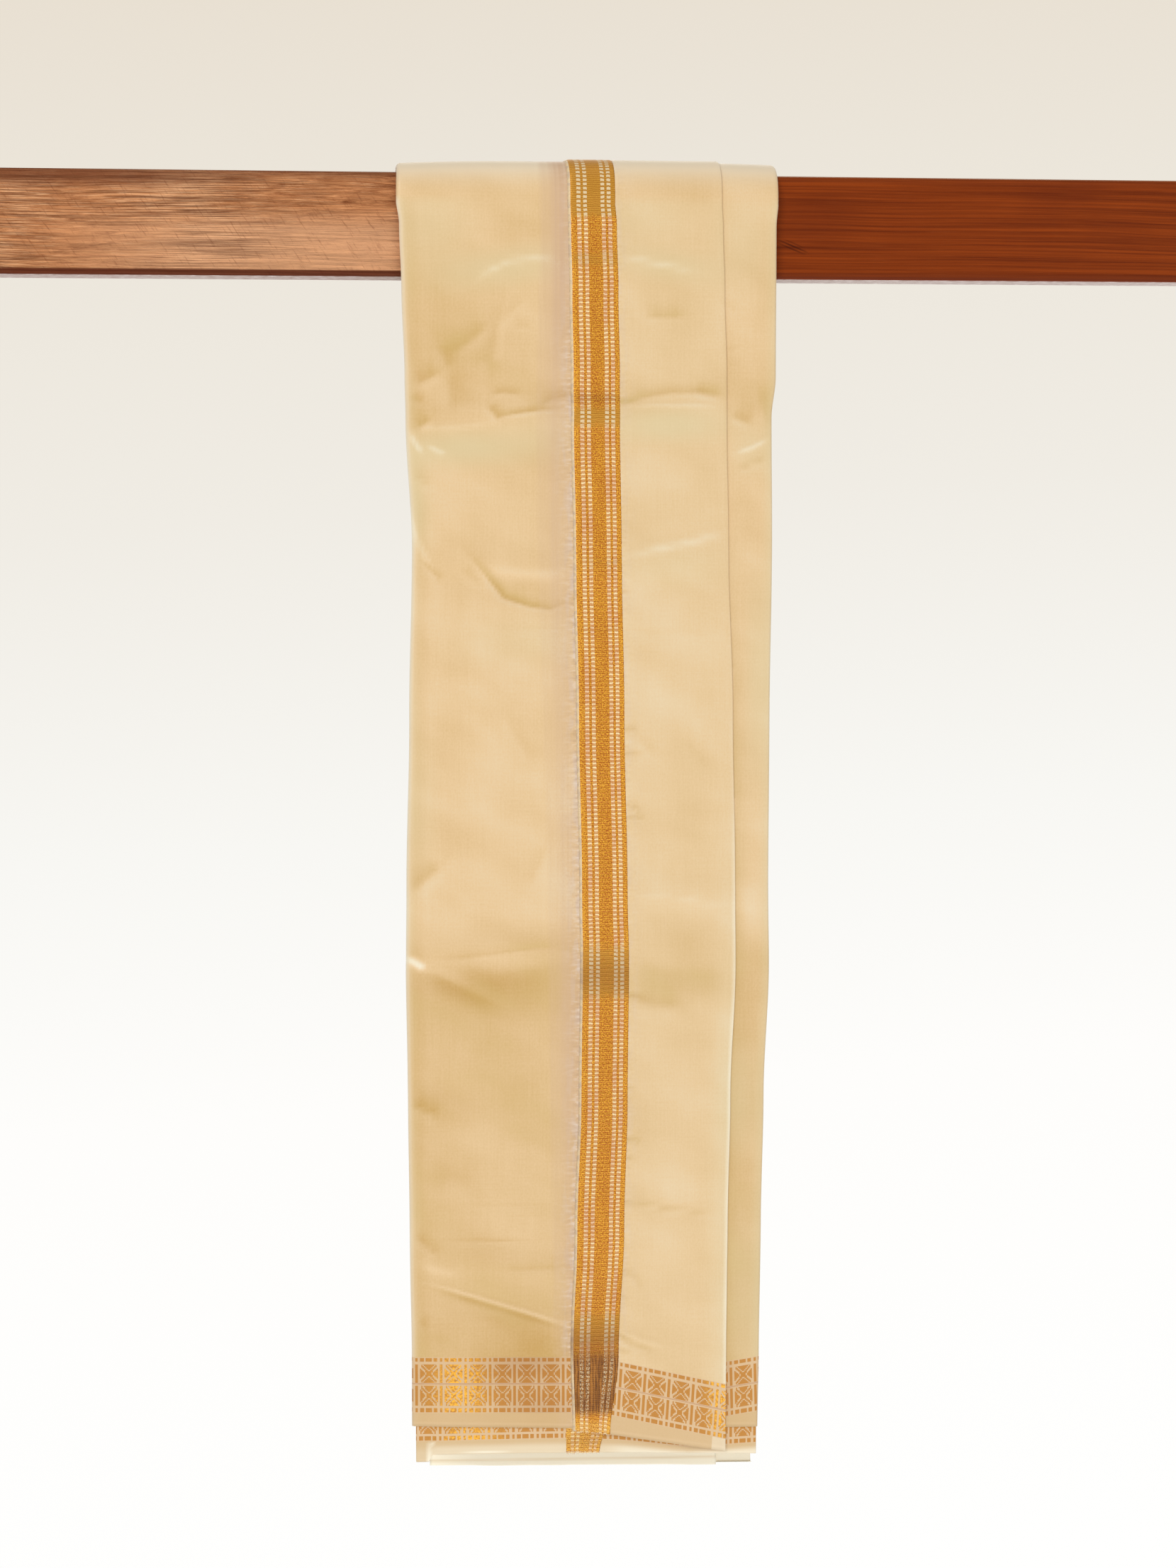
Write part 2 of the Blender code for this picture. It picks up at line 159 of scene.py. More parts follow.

# Creases on the front: troughs (depth below 0) and ridges (depth above 0).
# tone is painted shade (below 0) or painted highlight (above 0) on the silk's sheen there.
# A painted shade fades upwards from its line, or downwards where half_width is below 0.
FRONT_CREASES = (
    # half_width, depth, tone, points (x, z)
    (2.6, 0.5, 0.8, ((-86, -43), (-76, -34), (-59, -26), (-42, -24), (-28, -25), (-18, -27))),
    (2.6, 0.5, 0.8, ((20, -22), (38, -25), (55, -28), (78, -33))),
    (3.1, -0.5, -0.7, ((38, -62), (52, -65), (71, -64))),
    (4.6, -1.0, -0.75, ((-74, -68), (-84, -78), (-95, -86), (-106, -92))),
    (4.6, -0.6, -0.6, ((-111, -84), (-105, -93), (-102, -103))),
    (7.2, -0.6, -0.5, ((-102, -101), (-100, -116), (-98, -134))),
    (4.1, -0.9, -0.8, ((-128, -113), (-119, -109), (-110, -104))),
    (2.6, -0.7, -0.5, ((-131, -123), (-121, -127))),
    (3.1, -0.7, -0.8, ((-127, -145), (-116, -138))),
    (4.1, -0.5, -0.4, ((-63, -48), (-69, -72), (-73, -98), (-73, -116))),
    (2.6, -0.3, -0.3, ((-46, -52), (-58, -60), (-67, -72))),
    (2.6, -0.3, -0.3, ((-56, -71), (-42, -71))),
    (2.0, -0.7, -0.7, ((-74, -121), (-63, -119), (-48, -121))),
    (2.8, -0.9, -1.1, ((-75, -129), (-69, -135), (-66, -140))),
    (1.5, -0.9, -1.2, ((-70, -138), (-58, -135), (-51, -134), (-37, -132), (-18, -131))),
    (2.6, -0.9, -1.0, ((-37, -128), (-28, -124), (-15, -121))),
    (2.0, 0.6, 0.3, ((-134, -148), (-121, -146), (-100, -145), (-80, -143), (-66, -141))),
    (2.4, -0.6, -0.85, ((22, -129), (34, -123), (60, -119), (79, -119), (98, -124))),
    (3.1, -0.9, -0.9, ((75, -117), (87, -119), (98, -121))),
    (1.5, 0.5, 0.5, ((22, -131), (45, -129), (76, -129), (98, -130))),
    (3.1, -0.6, -0.9, ((103, -135), (110, -138), (119, -142))),
    (2.0, 0.5, 0.8, ((106, -164), (118, -160), (132, -153))),
    (2.0, -0.4, -0.6, ((107, -176), (122, -170), (133, -166))),
    (5.1, -0.4, -0.5, ((124, -112), (130, -133), (132, -148))),
    (2.0, -0.3, -0.4, ((99, -57), (107, -59))),
    (2.0, -0.3, -0.3, ((99, -88), (109, -88))),
    (3.1, -0.7, -0.5, ((-132, -164), (-130, -195), (-126, -225), (-121, -241))),
    (2.0, -0.9, -0.8, ((-123, -240), (-118, -246), (-112, -252), (-110, -257))),
    (1.8, -0.9, -1.2, ((-93, -233), (-78, -249), (-63, -268), (-44, -274), (-29, -276), (-9, -268))),
    (5.0, -0.5, -0.3, ((-78, -249), (-63, -266), (-44, -272))),
    (2.4, 0.5, 0.8, ((-131, -204), (-127, -225), (-120, -240), (-112, -251))),
    (2.6, 0.4, 1.2, ((-132, -148), (-128, -156), (-122, -165))),
    (2.0, 0.3, 0.9, ((-119, -158), (-112, -162), (-104, -164))),
    (3.0, -0.3, -0.5, ((-130, -178), (-122, -184), (-116, -186))),
    (5.1, 0.6, 0.4, ((-80, -246), (-54, -250), (-28, -251), (-11, -249))),
    (3.1, -0.3, -0.3, ((-95, -246), (-88, -252), (-80, -259))),
    (3.1, 0.6, 0.7, ((24, -239), (50, -233), (76, -228), (101, -221))),
    (1.0, -0.2, -0.2, ((-70, -290), (-38, -290), (-11, -292), (22, -292), (87, -295))),
    (4.1, -0.5, -0.3, ((-62, -352), (-55, -367), (-46, -380), (-43, -391))),
    (1.5, -0.5, -0.6, ((26, -363), (35, -366))),
    (3.1, -0.3, -0.3, ((26, -366), (37, -373), (48, -384))),
    (1.5, -0.4, -0.4, ((26, -383), (41, -383))),
    (1.5, -0.5, -0.6, ((28, -417), (33, -423), (37, -428))),
    (1.5, -0.4, -0.5, ((28, -429), (41, -431))),
    (4.1, -0.3, -0.2, ((66, -371), (77, -382), (88, -395))),
    (5.6, -1.0, -0.9, ((-134, -482), (-126, -475), (-118, -468), (-109, -461))),
    (4.1, -0.4, -0.3, ((-46, -479), (-38, -461), (-32, -448))),
    (1.5, 0.4, 0.3, ((29, -487), (56, -488), (88, -494), (107, -496))),
    (3.4, 0.8, 2.2, ((-137, -530), (-130, -534), (-121, -540))),
    (2.0, -0.6, -0.5, ((-122, -531), (-96, -531), (-70, -528), (-38, -524), (-17, -524))),
    (-5.2, -0.9, -0.5, ((-127, -541), (-112, -547), (-94, -556), (-66, -570))),
    (-9.2, -0.6, -0.35, ((-101, -537), (-70, -547), (-33, -543), (-17, -544))),
    (7.1, -0.8, -0.6, ((28, -563), (43, -566), (70, -568))),
    (-9.2, -0.4, -0.35, ((26, -541), (62, -546), (104, -550))),
    (4.1, -0.9, -0.8, ((-134, -638), (-122, -643), (-110, -649))),
    (11.3, -0.4, -0.3, ((-122, -697), (-102, -691), (-81, -697))),
    (1.5, -0.6, -0.6, ((28, -667), (38, -671))),
    (2.0, -0.4, -0.4, ((27, -682), (33, -687))),
    (1.5, -0.5, -0.6, ((25, -716), (41, -718), (57, -722), (78, -725), (94, -728))),
    (1.0, -0.2, -0.2, ((-102, -715), (-60, -716), (-17, -718))),
    (4.1, -0.7, -0.6, ((-132, -734), (-123, -742), (-111, -753))),
    (4.1, 0.5, 0.4, ((-131, -754), (-117, -762), (-96, -768))),
    (1.3, -0.4, -0.5, ((-110, -741), (-75, -742), (-37, -744))),
    (1.3, -0.4, -0.5, ((-69, -764), (-39, -764), (-17, -764))),
    (2.6, -0.4, -0.4, ((25, -764), (33, -772), (38, -784))),
    (1.0, 0.8, 0.3, ((-127, -771), (-91, -782), (-49, -796), (-12, -809))),
    (-1.6, -0.8, -0.9, ((-122, -774), (-91, -785), (-49, -799), (-12, -812))),
    (-8.2, -0.3, -0.45, ((-91, -797), (-50, -806), (-14, -818))),
    (3.1, -0.5, -0.4, ((-129, -800), (-121, -805))),
    (2.6, -0.7, -0.6, ((19, -816), (30, -823), (49, -829))),
    (2.0, 0.5, 0.4, ((19, -812), (36, -820), (57, -827))),
)
# Creases like them on the back, which the front view hides
BACK_CREASES = (
    # half_width, depth, tone, points (x, z)
    (3.0, 0.5, 0.8, ((92, -40), (70, -31), (40, -26), (24, -27))),
    (3.0, 0.4, 0.7, ((-20, -25), (-48, -29), (-80, -38))),
    (6.0, -0.9, -0.8, ((-88, -84), (-98, -96), (-106, -112))),
    (4.0, -0.6, -0.5, ((120, -96), (108, -104), (101, -118))),
    (2.0, -0.7, -0.7, ((-122, -124), (-96, -119), (-61, -120), (-22, -124))),
    (2.4, -0.8, -0.8, ((26, -118), (52, -114), (80, -117), (96, -121))),
    (2.2, 0.5, 0.5, ((-130, -142), (-90, -139), (-40, -137), (-16, -138))),
    (3.4, -0.7, -0.5, ((128, -160), (124, -196), (118, -228))),
    (2.2, -0.8, -0.8, ((-104, -244), (-82, -256), (-58, -262), (-18, -258))),
    (3.4, 0.5, 0.5, ((26, -250), (58, -246), (96, -238))),
    (4.2, -0.4, -0.3, ((-70, -346), (-60, -366), (-52, -388))),
    (5.4, -0.9, -0.8, ((133, -470), (122, -462), (110, -452))),
    (2.0, -0.6, -0.5, ((-130, -512), (-92, -508), (-50, -510), (-14, -514))),
    (8.0, -0.8, -0.8, ((62, -538), (88, -547), (112, -552))),
    (6.0, -0.5, -0.5, ((-96, -536), (-62, -542), (-24, -540))),
    (4.0, -0.8, -0.7, ((-130, -634), (-118, -641), (-104, -646))),
    (1.6, -0.4, -0.5, ((24, -664), (48, -668), (84, -674))),
    (4.0, -0.6, -0.5, ((126, -730), (112, -741), (98, -748))),
    (1.8, 0.6, 0.5, ((-120, -770), (-84, -778), (-44, -790), (-16, -798))),
    (6.4, -0.7, -0.5, ((-118, -782), (-80, -791), (-40, -804))),
    (2.4, -0.6, -0.5, ((28, -806), (48, -812), (78, -822))),
    (3.0, -0.5, -0.4, ((-124, -858), (-100, -866), (-72, -868))),
    (2.6, 0.4, 0.4, ((30, -874), (66, -880), (100, -878))),
)
# Long soft ripples that every layer shares
RIPPLES = (
    # waves per metre along x, waves per metre along z, phase, depth
    (7.1, 1.3, 0.4, 0.16),
    (11.7, -2.2, 2.1, 0.10),
    (3.3, 7.9, 1.2, 0.12),
    (17.3, 3.1, 4.0, 0.06),
    (5.2, -13.7, 5.1, 0.06),
)
RIPPLES_START_Z = -20.0
RIPPLES_FULL_Z = -110.0
# Soft patches of painted shade (tone below 0) and painted highlight (tone above 0) on the front silk
SHADES = (
    # x, z, half_length, half_height, tilt, tone
    (-96, -98, 40, 44, 30, -0.26),
    (-112, -130, 34, 22, 0, -0.22),
    (-50, -118, 60, 20, 0, -0.22),
    (60, -112, 60, 20, 0, -0.16),
    (-64, -70, 30, 60, 12, -0.12),
    (-64, -556, 96, 34, -4, -0.45),
    (68, -558, 80, 30, 0, -0.15),
    (-48, -832, 66, 28, -4, -0.80),
    (-36, -874, 60, 34, 0, -0.70),
    (-80, -852, 80, 26, 0, -0.25),
    (-112, -640, 34, 40, 0, -0.20),
    (-40, -266, 60, 24, -5, -0.18),
    (120, -124, 20, 26, 20, -0.30),
    (112, -70, 22, 40, 0, 0.16),
    (118, -100, 16, 34, 0, 0.14),
    (118, -580, 16, 40, 0, -0.25),
    (120, -500, 14, 50, 0, 0.25),
    (-100, -330, 20, 150, 0, -0.16),
    (-70, -420, 30, 110, 8, 0.12),
    (60, -340, 44, 90, 0, 0.10),
    (-60, -640, 50, 40, 0, -0.15),
    (-40, -700, 50, 50, 10, 0.12),
    (60, -690, 34, 80, 0, 0.12),
    (-30, -760, 44, 40, 0, 0.16),
)
# Short tucks that the border's seam pulls into the silk, drawn as painted shade: height, length,
# half width, slope, tone
LEFT_TUCKS = (
    (-2, 7, 1.0, 0.0, -0.5), (-121, 20, 2.6, 0.02, -1.1), (-202, 5, 1.0, 0.1, -0.6),
    (-269, 9, 1.3, 0.1, -0.5), (-290, 7, 1.2, 0.2, -0.6), (-368, 12, 1.6, -0.1, -0.7),
    (-434, 6, 1.0, 0.1, -0.6), (-487, 8, 1.2, 0.0, -0.5), (-527, 16, 2.2, 0.05, -0.8),
    (-567, 7, 1.2, 0.1, -0.7), (-598, 9, 1.2, -0.1, -0.7), (-622, 6, 1.0, 0.0, -0.6),
    (-670, 10, 1.4, 0.1, -0.7), (-696, 7, 1.1, 0.2, -0.6), (-742, 8, 1.1, 0.0, -0.6),
    (-764, 9, 1.1, 0.0, -0.6),
)
RIGHT_TUCKS = (
    (-2, 5, 1.0, 0.0, -0.3), (-126, 22, 1.8, 0.05, -1.0), (-203, 4, 1.0, 0.0, -0.4),
    (-264, 8, 1.4, 0.1, -0.5), (-365, 12, 1.4, -0.1, -0.6), (-382, 15, 1.2, 0.0, -0.6),
    (-420, 12, 1.4, -0.5, -0.6), (-430, 14, 1.2, -0.1, -0.6), (-561, 20, 2.4, -0.2, -0.7),
    (-630, 7, 1.1, -0.1, -0.6), (-669, 8, 1.3, -0.2, -0.7), (-683, 6, 1.0, -0.2, -0.6),
    (-716, 12, 1.2, -0.1, -0.7), (-768, 12, 1.8, -0.6, -0.6), (-787, 8, 1.2, -0.3, -0.6),
    (-816, 14, 1.8, -0.5, -0.9), (-827, 16, 1.5, -0.2, -0.6),
)
# The silk's tone down the front: painted shade of the large fold from 535 to 620 below the top,
# and a plain darkening near the top and towards the foot. Columns: height below the top, main
# panel, flap
TONE_DOWN = ((-30, -0.1, -0.05), (5, -0.25, -0.18), (110, -0.22, -0.02), (170, -0.12, -0.02),
             (240, -0.02, 0.04), (500, 0.02, 0.05), (535, -0.4, -0.2), (570, -0.5, -0.18),
             (620, -0.42, -0.08), (740, -0.45, -0.02), (800, -0.66, -0.05), (880, -0.6, -0.15))
# Painted sheen: faint green-cream patches below the pressed fold lines, the cast the shot silk
# takes where its folds turn the light
GREEN_ZONES = (
    # x, z, half_length, half_height, tilt, share
    (-92, -160, 80, 22, 1, 1.0),
    (58, -143, 66, 20, 1, 0.9),
    (-128, -200, 18, 60, 0, 0.7),
    (120, -160, 26, 30, 0, 0.5),
    (-60, -30, 90, 22, 8, 0.8),
    (56, -28, 60, 18, -8, 0.6),
    (-118, 0, 50, 50, 0, 0.5),
    (30, 6, 60, 30, 0, 0.3),
    (112, -10, 34, 60, 0, 0.4),
    (-20, -150, 60, 30, 0, 0.5),
    (-40, -300, 90, 30, 0, 0.35),
    (64, -246, 60, 26, 0, 0.3),
    (-128, -420, 22, 90, 0, 0.35),
    (124, -330, 14, 120, 0, 0.6),
    (112, -640, 26, 70, 0, 0.5),
    (118, -800, 26, 120, 0, 0.5),
)
# The border's pale stripes, as shares of its width from the left
PALE_STRIPES = ((0.135, 0.224), (0.283, 0.365), (0.672, 0.756), (0.81, 0.894))
# Stretches of the gold border where the weave is smooth and ochre: heights and share
SMOOTH_GOLD = ((7, 90, 1.0), (-29, -18, 0.62), (-144, -131, 0.95), (-248, -238, 0.4),
               (-563, -524, 0.72), (-824, -799, 0.7))
# Where folds darken it: height, half height, tone
GOLD_SHADES = ((-547, 15, -0.6), (-822, 15, -0.95), (-786, 16, -0.25), (-866, 9, -0.4),
               (-124, 4, -0.5), (-896, 5, -0.5), (-660, 90, -0.12))
GOLD_FOOT_Z = -830.0
GOLD_SPARK_Z = -881.0

# The woven band across the cloth's end: heights above its lowest line
BAND_PERIOD = 18.2
BAND_BAR = (0.0, 2.0)
BAND_BLOCK_X, BAND_BLOCK_HALF = 10.2, 6.5
BAND_DASHES = ((0.15, 1.85), (3.55, 6.6), (7.7, 12.4), (13.6, 16.3))
BAND_DASH_ROWS = ((0.0, 3.2), (38.2, 40.9))
BAND_BLOCKS = ((5.0, 20.0), (22.2, 36.1))
BAND_LINES = ((21.0, 21.3), (21.6, 21.9))
BAND_TOP = 41.5
BAND_FOOT, BAND_EDGE = -0.6, -0.5
HEM_FOOT = -40.0
# A height in the chart that is far above the band, where a stretch has none
NO_BAND = 500.0
THREAD_STEP = 0.95
# The figure round a knot in the rail, in metres
KNOT = (0.150, -0.0135)
# The lowest line of the band on each stretch: place, height, slope, lean and first bar
MAIN_BAND = (-128.0, -869.5, -0.035, 0.0, -130.7)
STRIP_BAND = (102.4, -880.7, 0.137, 0.028, 105.9)
FLAP_BAND = (14.6, -875.9, -0.248, -0.065, 19.4)
CORNER_START = 72.3
SECOND_FIRST_BAR = -131.4
SECOND_BAND_LINE = ((-131, -891.4), (-22, -893.0), (20, -895.7), (74, -903.0), (127, -901.9))

# How much wider than its drawn line a crease fades out: a factor and a constant
CREASE_SOFTNESS = (0.9, 0.5)
SHADE_STRENGTH = 0.8
# How strong a crease is at its tips, and the share of its length over which it fades in
TIP_STRENGTH, TIP_SHARE = 0.15, 0.3
# Spreads in widths of the crease: a ridge's glare, and a trough's shade on its two sides
GLARE_SPREAD = 0.8
SHADE_SPREAD = (1.8, 0.5)
# The painted highlight on a trough's crisp side: its place, its spread and its strength
RIM_PLACE, RIM_SPREAD, RIM_STRENGTH = -1.3, 0.8, 0.35

# Mesh steps
CREASE_BANDS = ((-165, -100), (-294, -242), (-572, -515), (-832, -762))
TUCK_HEIGHTS = tuple(tuck[0] for tuck in LEFT_TUCKS + RIGHT_TUCKS)
TUCK_REACH = 3.6
FINE_STEP = 1.6
COARSE_STEP = 4.0
BACK_STEP = 9.0
BEND_STEPS = 34
TURN_END, TURN_STEPS = 85, 6
# Places across the main panel, close together where it shows and wide apart under the flap
PANEL_SHARES = np.concatenate([np.linspace(0.0, 0.47, 53), np.linspace(0.51, 0.85, 11),
                               np.linspace(0.873, 1.0, 16)])
# The marks that the silk's material reads at each point
SILK_MARKS = ("tone", "green", "under", "pucker", "glint", "sheer", "pale")
# How the main panel's edges curl round the layers under it: radii and angles
PANEL_RADII = (2.9, 2.4)
PANEL_CURL, PANEL_FOOT_CURL = 170, 12
UNDER_FLAP_DROP = 0.5
STRIP_CHART_X = 60
# Where the woven band glints: place, half length, height, half height
MAIN_GLINT = (-97, 16, -852, 30)
FLAP_GLINT = (97, 7, -862, 40)
SECOND_GLINT = (-90, 18)
FLAP_RADIUS = 0.6
# The other end's left corner: the slanted edge it starts at, and how much lower it hangs
SLANT_X, SLANT_Z, SLANT = -118.6, -892.0, 0.2
SLANT_DROP, SLANT_DROP_Z, SLANT_DROP_HEIGHT = 5.6, -892.5, 9.5
SHEET_THICKNESS, LOOP_THICKNESS, BORDER_THICKNESS = 0.45, 0.35, 0.3
LOOP_TOP_Z = -48.0
PACK_LAYERS = 5
FOLD_BULGE = 0.55
# How far the stack is set in from the outer layers' edges: on the bend, left and right
PACK_INSETS = (2.2, 3.4, 2.8)
RIB_PITCH = 1.55
DASH_PITCH = 3.1
RIB_HEIGHT = 0.14
SELVEDGE_WIDTH, SELVEDGE_SINK = 2.0, -1.4
# Across the gold border: share of its width, depth below its face
GOLD_PROFILE = ((0.0, -0.4), (0.035, -0.15), (0.07, 0), (0.13, 0), (0.3, 0), (0.37, 0),
                (0.52, 0), (0.67, 0), (0.83, 0), (0.94, 0), (0.975, -0.06), (1.0, -0.2))
# The height whose weave the gold has all over the bend
BEND_GOLD_Z = 60.0
# The borders' cut ends: left, right, hem and depth
FRAYED_ENDS = ((-11.2, 14.2, FLAP_HEM, FLAP_OUT), (-17.8, 7.0, SECOND_HEM, SECOND_OUT))
THREADS_AN_END = 34

FRONT, BEND, BACK, TURN = range(4)


def ease(t):
    """0 below 0, 1 above 1 and an even ease between."""
    t = np.clip(t, 0.0, 1.0)
    return t * t * (3 - 2 * t)


def bell(value, middle, width):
    """1 at a middle, and a soft fade on both sides."""
    return np.exp(-((value - middle) / width) ** 2)


def eased(table, column, heights):
    """A table's column at each height, eased between its rows."""
    levels = np.array([row[0] for row in table], float)
    values = np.array([row[column] for row in table], float)
    heights = np.clip(heights, levels[-1], levels[0])
    lower = np.clip(np.searchsorted(-levels, -heights), 1, len(levels) - 1)
    upper = lower - 1
    share = ease((levels[upper] - heights) / (levels[upper] - levels[lower]))
    return values[upper] + (values[lower] - values[upper]) * share


def level(three, x):
    """A height that runs through its values at the left edge, the middle and the right edge."""
    left, middle, right = three
    share = np.minimum(1.0, np.abs(x) / EDGE_X)
    return middle + (np.where(x > 0, right, left) - middle) * share


def back_foot(x):
    """The height of the back's turned fold at x."""
    return level(BACK_FOLD, x) + CORNER_LIFT * ease((CORNER_X - x) / CORNER_WIDTH)


def patch(x, z, place_x, place_z, half_length, half_height, tilt):
    """How strongly a soft tilted patch is felt at x, z: 1 in its middle and 0 outside it."""
    c, s = cos(radians(tilt)), sin(radians(tilt))
    along = np.abs((x - place_x) * c + (z - place_z) * s) / half_length
    over = np.clip(((z - place_z) * c - (x - place_x) * s) / half_height, -1, 1)
    return (1 - ease(along)) * np.cos(over * pi / 2) ** 2


def crease_line(points, reach, x, z):
    """How far x, z is from a crease's line, above it or below, and how much its ends fade."""
    away = np.full(x.shape, np.inf)
    fade = np.zeros(x.shape)
    xs, zs = zip(*points)
    near = ((x > min(xs) - reach) & (x < max(xs) + reach)
            & (z > min(zs) - reach) & (z < max(zs) + reach))
    if not near.any():
        return away, fade
    px, pz = x[near], z[near]
    nearest = np.full(px.shape, np.inf)
    above = np.ones(px.shape)
    run = np.zeros(px.shape)
    length = 0.0
    for (ax, az), (bx, bz) in zip(points, points[1:]):
        dx, dz = bx - ax, bz - az
        span = float(np.hypot(dx, dz))
        t = np.clip(((px - ax) * dx + (pz - az) * dz) / span ** 2, 0, 1)
        distance = np.hypot(px - ax - t * dx, pz - az - t * dz)
        side = np.sign((dx * (pz - az) - dz * (px - ax)) * (1 if dx >= 0 else -1))
        above = np.where(distance < nearest, side, above)
        run = np.where(distance < nearest, length + t * span, run)
        nearest = np.minimum(nearest, distance)
        length += span
    away[near] = nearest * above
    from_tip = ease(np.minimum(run, length - run) / (TIP_SHARE * length))
    fade[near] = TIP_STRENGTH + (1 - TIP_STRENGTH) * from_tip
    return away, fade


def softened(half_width):
    """How far a crease of this drawn width reaches."""
    return abs(half_width) * CREASE_SOFTNESS[0] + CREASE_SOFTNESS[1]


def crease_relief(points, half_width, x, z):
    """How strongly a crease bends the cloth at x, z: 1 on its line."""
    wide = softened(half_width)
    away, fade = crease_line(points, 2.6 * wide, x, z)
    return fade * bell(away, 0, wide)


def crease_tone(points, half_width, tone, x, z):
    """A crease's tone at x, z: a trough's shade is soft on one side and crisp on the other."""
    wide = softened(half_width)
    away, fade = crease_line(points, 4.0 * wide, x, z)
    if tone > 0:
        return tone * fade * bell(away, 0, GLARE_SPREAD * wide)
    away = away * np.sign(half_width)
    shade = bell(away, 0, np.where(away > 0, *SHADE_SPREAD) * wide)
    rim = bell(away, RIM_PLACE * wide, RIM_SPREAD * wide)
    return SHADE_STRENGTH * tone * fade * (shade - RIM_STRENGTH * rim)


def folds_relief(folds, x, z):
    """How far the large folds stand proud at x, z."""
    return sum(depth * patch(x, z, fx, fz, length, height, tilt)
               for fx, fz, length, height, tilt, depth in folds)


def creases_relief(creases, x, z):
    """How far the creases and the long ripples stand proud at x, z."""
    relief = sum(depth * crease_relief(points, width, x, z)
                 for width, depth, _, points in creases)
    ripple = sum(depth * np.sin(2 * pi * (across * x + down * z) * MM + phase)
                 for across, down, phase, depth in RIPPLES)
    return relief + ripple * ease((RIPPLES_START_Z - z) / (RIPPLES_START_Z - RIPPLES_FULL_Z))


def creases_tone(creases, x, z):
    """The painted shade and highlight that the creases lay on the silk at x, z."""
    return sum(crease_tone(points, width, tone, x, z) for width, _, tone, points in creases)


def tuck_share(tucks, away, z):
    """The painted shade along a side's tucks, at a distance from the border and a height."""
    felt = 0 * away * z
    for height, length, half_width, slope, tone in tucks:
        over = (z - height - slope * away) / half_width
        felt = felt + tone * np.exp(-over ** 2) * (1 - ease(away / length)) * (away > -0.5)
    return felt


def spaced(start, stop, fine_bands, fine, coarse):
    """Heights up from start to stop, in fine steps inside the bands."""
    heights = [start]
    while heights[-1] < stop - coarse:
        inside = any(low <= heights[-1] <= high for low, high in fine_bands)
        if fine_bands is CREASE_BANDS and not inside:
            inside = any(abs(heights[-1] - tuck) < TUCK_REACH for tuck in TUCK_HEIGHTS)
        heights.append(heights[-1] + (fine if inside else coarse))
    return heights + [stop]


# A row is one line across the strip: its kind, its height, its angle over the rail or round
# the foot, and how much of the hem's slope it shares.


def front_rows(hem, fine_bands=CREASE_BANDS, fine=FINE_STEP, coarse=COARSE_STEP):
    """The rows from a front hem up to the bend."""
    return [(FRONT, h, 0.0, 1 - float(ease((h - hem[1]) / LEAN_REACH)))
            for h in spaced(hem[1], SPRING_Z, fine_bands, fine, coarse)]


def bend_rows(steps=BEND_STEPS):
    """The rows over the rail."""
    return [(BEND, SPRING_Z, angle, 0.0) for angle in np.linspace(180, 0, steps + 1)[1:]]


def back_rows(low, step=BACK_STEP):
    """The rows down the back."""
    heights = spaced(low, SPRING_Z, (), step, step)[::-1][1:]
    return [(BACK, h, 0.0, 1 - float(ease((h - low) / LEAN_REACH))) for h in heights]


def turn_rows():
    """The rows round the turned fold at the foot of the back."""
    return [(TURN, BACK_FOLD[1], angle, 1.0)
            for angle in np.linspace(0, TURN_END, TURN_STEPS + 1)[1:]]


def whole_rows(hem):
    """The rows from a front hem, over the rail and round the back's turned fold."""
    back = back_rows(BACK_FOLD[1] + TURN_UP)
    return np.array(front_rows(hem) + bend_rows() + back + turn_rows())


def edge(rows, name):
    """A shared edge's place on each row, as a column of numbers."""
    column = EDGE_COLUMNS[name]
    front = eased(FRONT_SECTIONS, column, rows[:, 1])
    back = eased(BACK_SECTIONS, column, rows[:, 1])
    over = np.where(rows[:, 0] == BEND, 1 - rows[:, 2] / 180, rows[:, 0] >= BACK)
    return (front + (back - front) * ease(over))[:, None]


def bend_puff(x):
    """How high the bend stands off the rail at x."""
    left = np.maximum(0.0, (LEFT_SHOULDER_X - x) / LEFT_SHOULDER_WIDTH)
    right = np.maximum(0.0, (x - RIGHT_SHOULDER_X) / RIGHT_SHOULDER_WIDTH)
    return BEND_PUFF - LEFT_SHOULDER_FALL * left ** 2 - RIGHT_SHOULDER_FALL * right ** 2


def row_heights(rows, hem, x):
    """The height at every place of the front and back rows."""
    lean = rows[:, 3:4]
    end = np.where(rows[:, 0:1] == FRONT, level(hem, x) - hem[1], back_foot(x) - BACK_FOLD[1])
    return rows[:, 1:2] + lean * end


def on_drape(rows, hem, x, depth, creased=1.0):
    """The points at places x and depths on each row, an array of rows by columns by 3."""
    kind = rows[:, 0:1]
    further = STRIP_TURN * (ease((x - LOOP_EDGES[1]) / 3) + ease((LOOP_EDGES[0] - x) / 3))
    turn = np.radians(rows[:, 2:3] * np.where(kind == TURN, 1 + further, 1.0))
    out = HALF_DEPTH + depth
    z = row_heights(rows, hem, x)
    front = out + folds_relief(FRONT_FOLDS, x, z) + creased * creases_relief(FRONT_CREASES, x, z)
    back = out + folds_relief(BACK_FOLDS, x, z) + creased * creases_relief(BACK_CREASES, x, z)
    power = 2 / BEND_SQUARENESS
    rise = RAIL_TOP + depth + bend_puff(x) - SPRING_Z
    bend_y = out * np.abs(np.cos(turn)) ** power * np.sign(np.cos(turn))
    bend_z = SPRING_Z + rise * np.maximum(0.0, np.sin(turn)) ** power
    foot = depth - TURN_DEPTH
    foot_y = HALF_DEPTH + TURN_DEPTH + foot * np.cos(turn)
    foot_z = back_foot(x) + TURN_UP - foot * np.sin(turn)
    kinds = [kind == FRONT, kind == BEND, kind == BACK]
    y = np.select(kinds, [-front, bend_y, back], foot_y)
    height = np.select(kinds, [z, bend_z, z], foot_z)
    return np.stack([x + 0 * y, y, height], axis=-1)


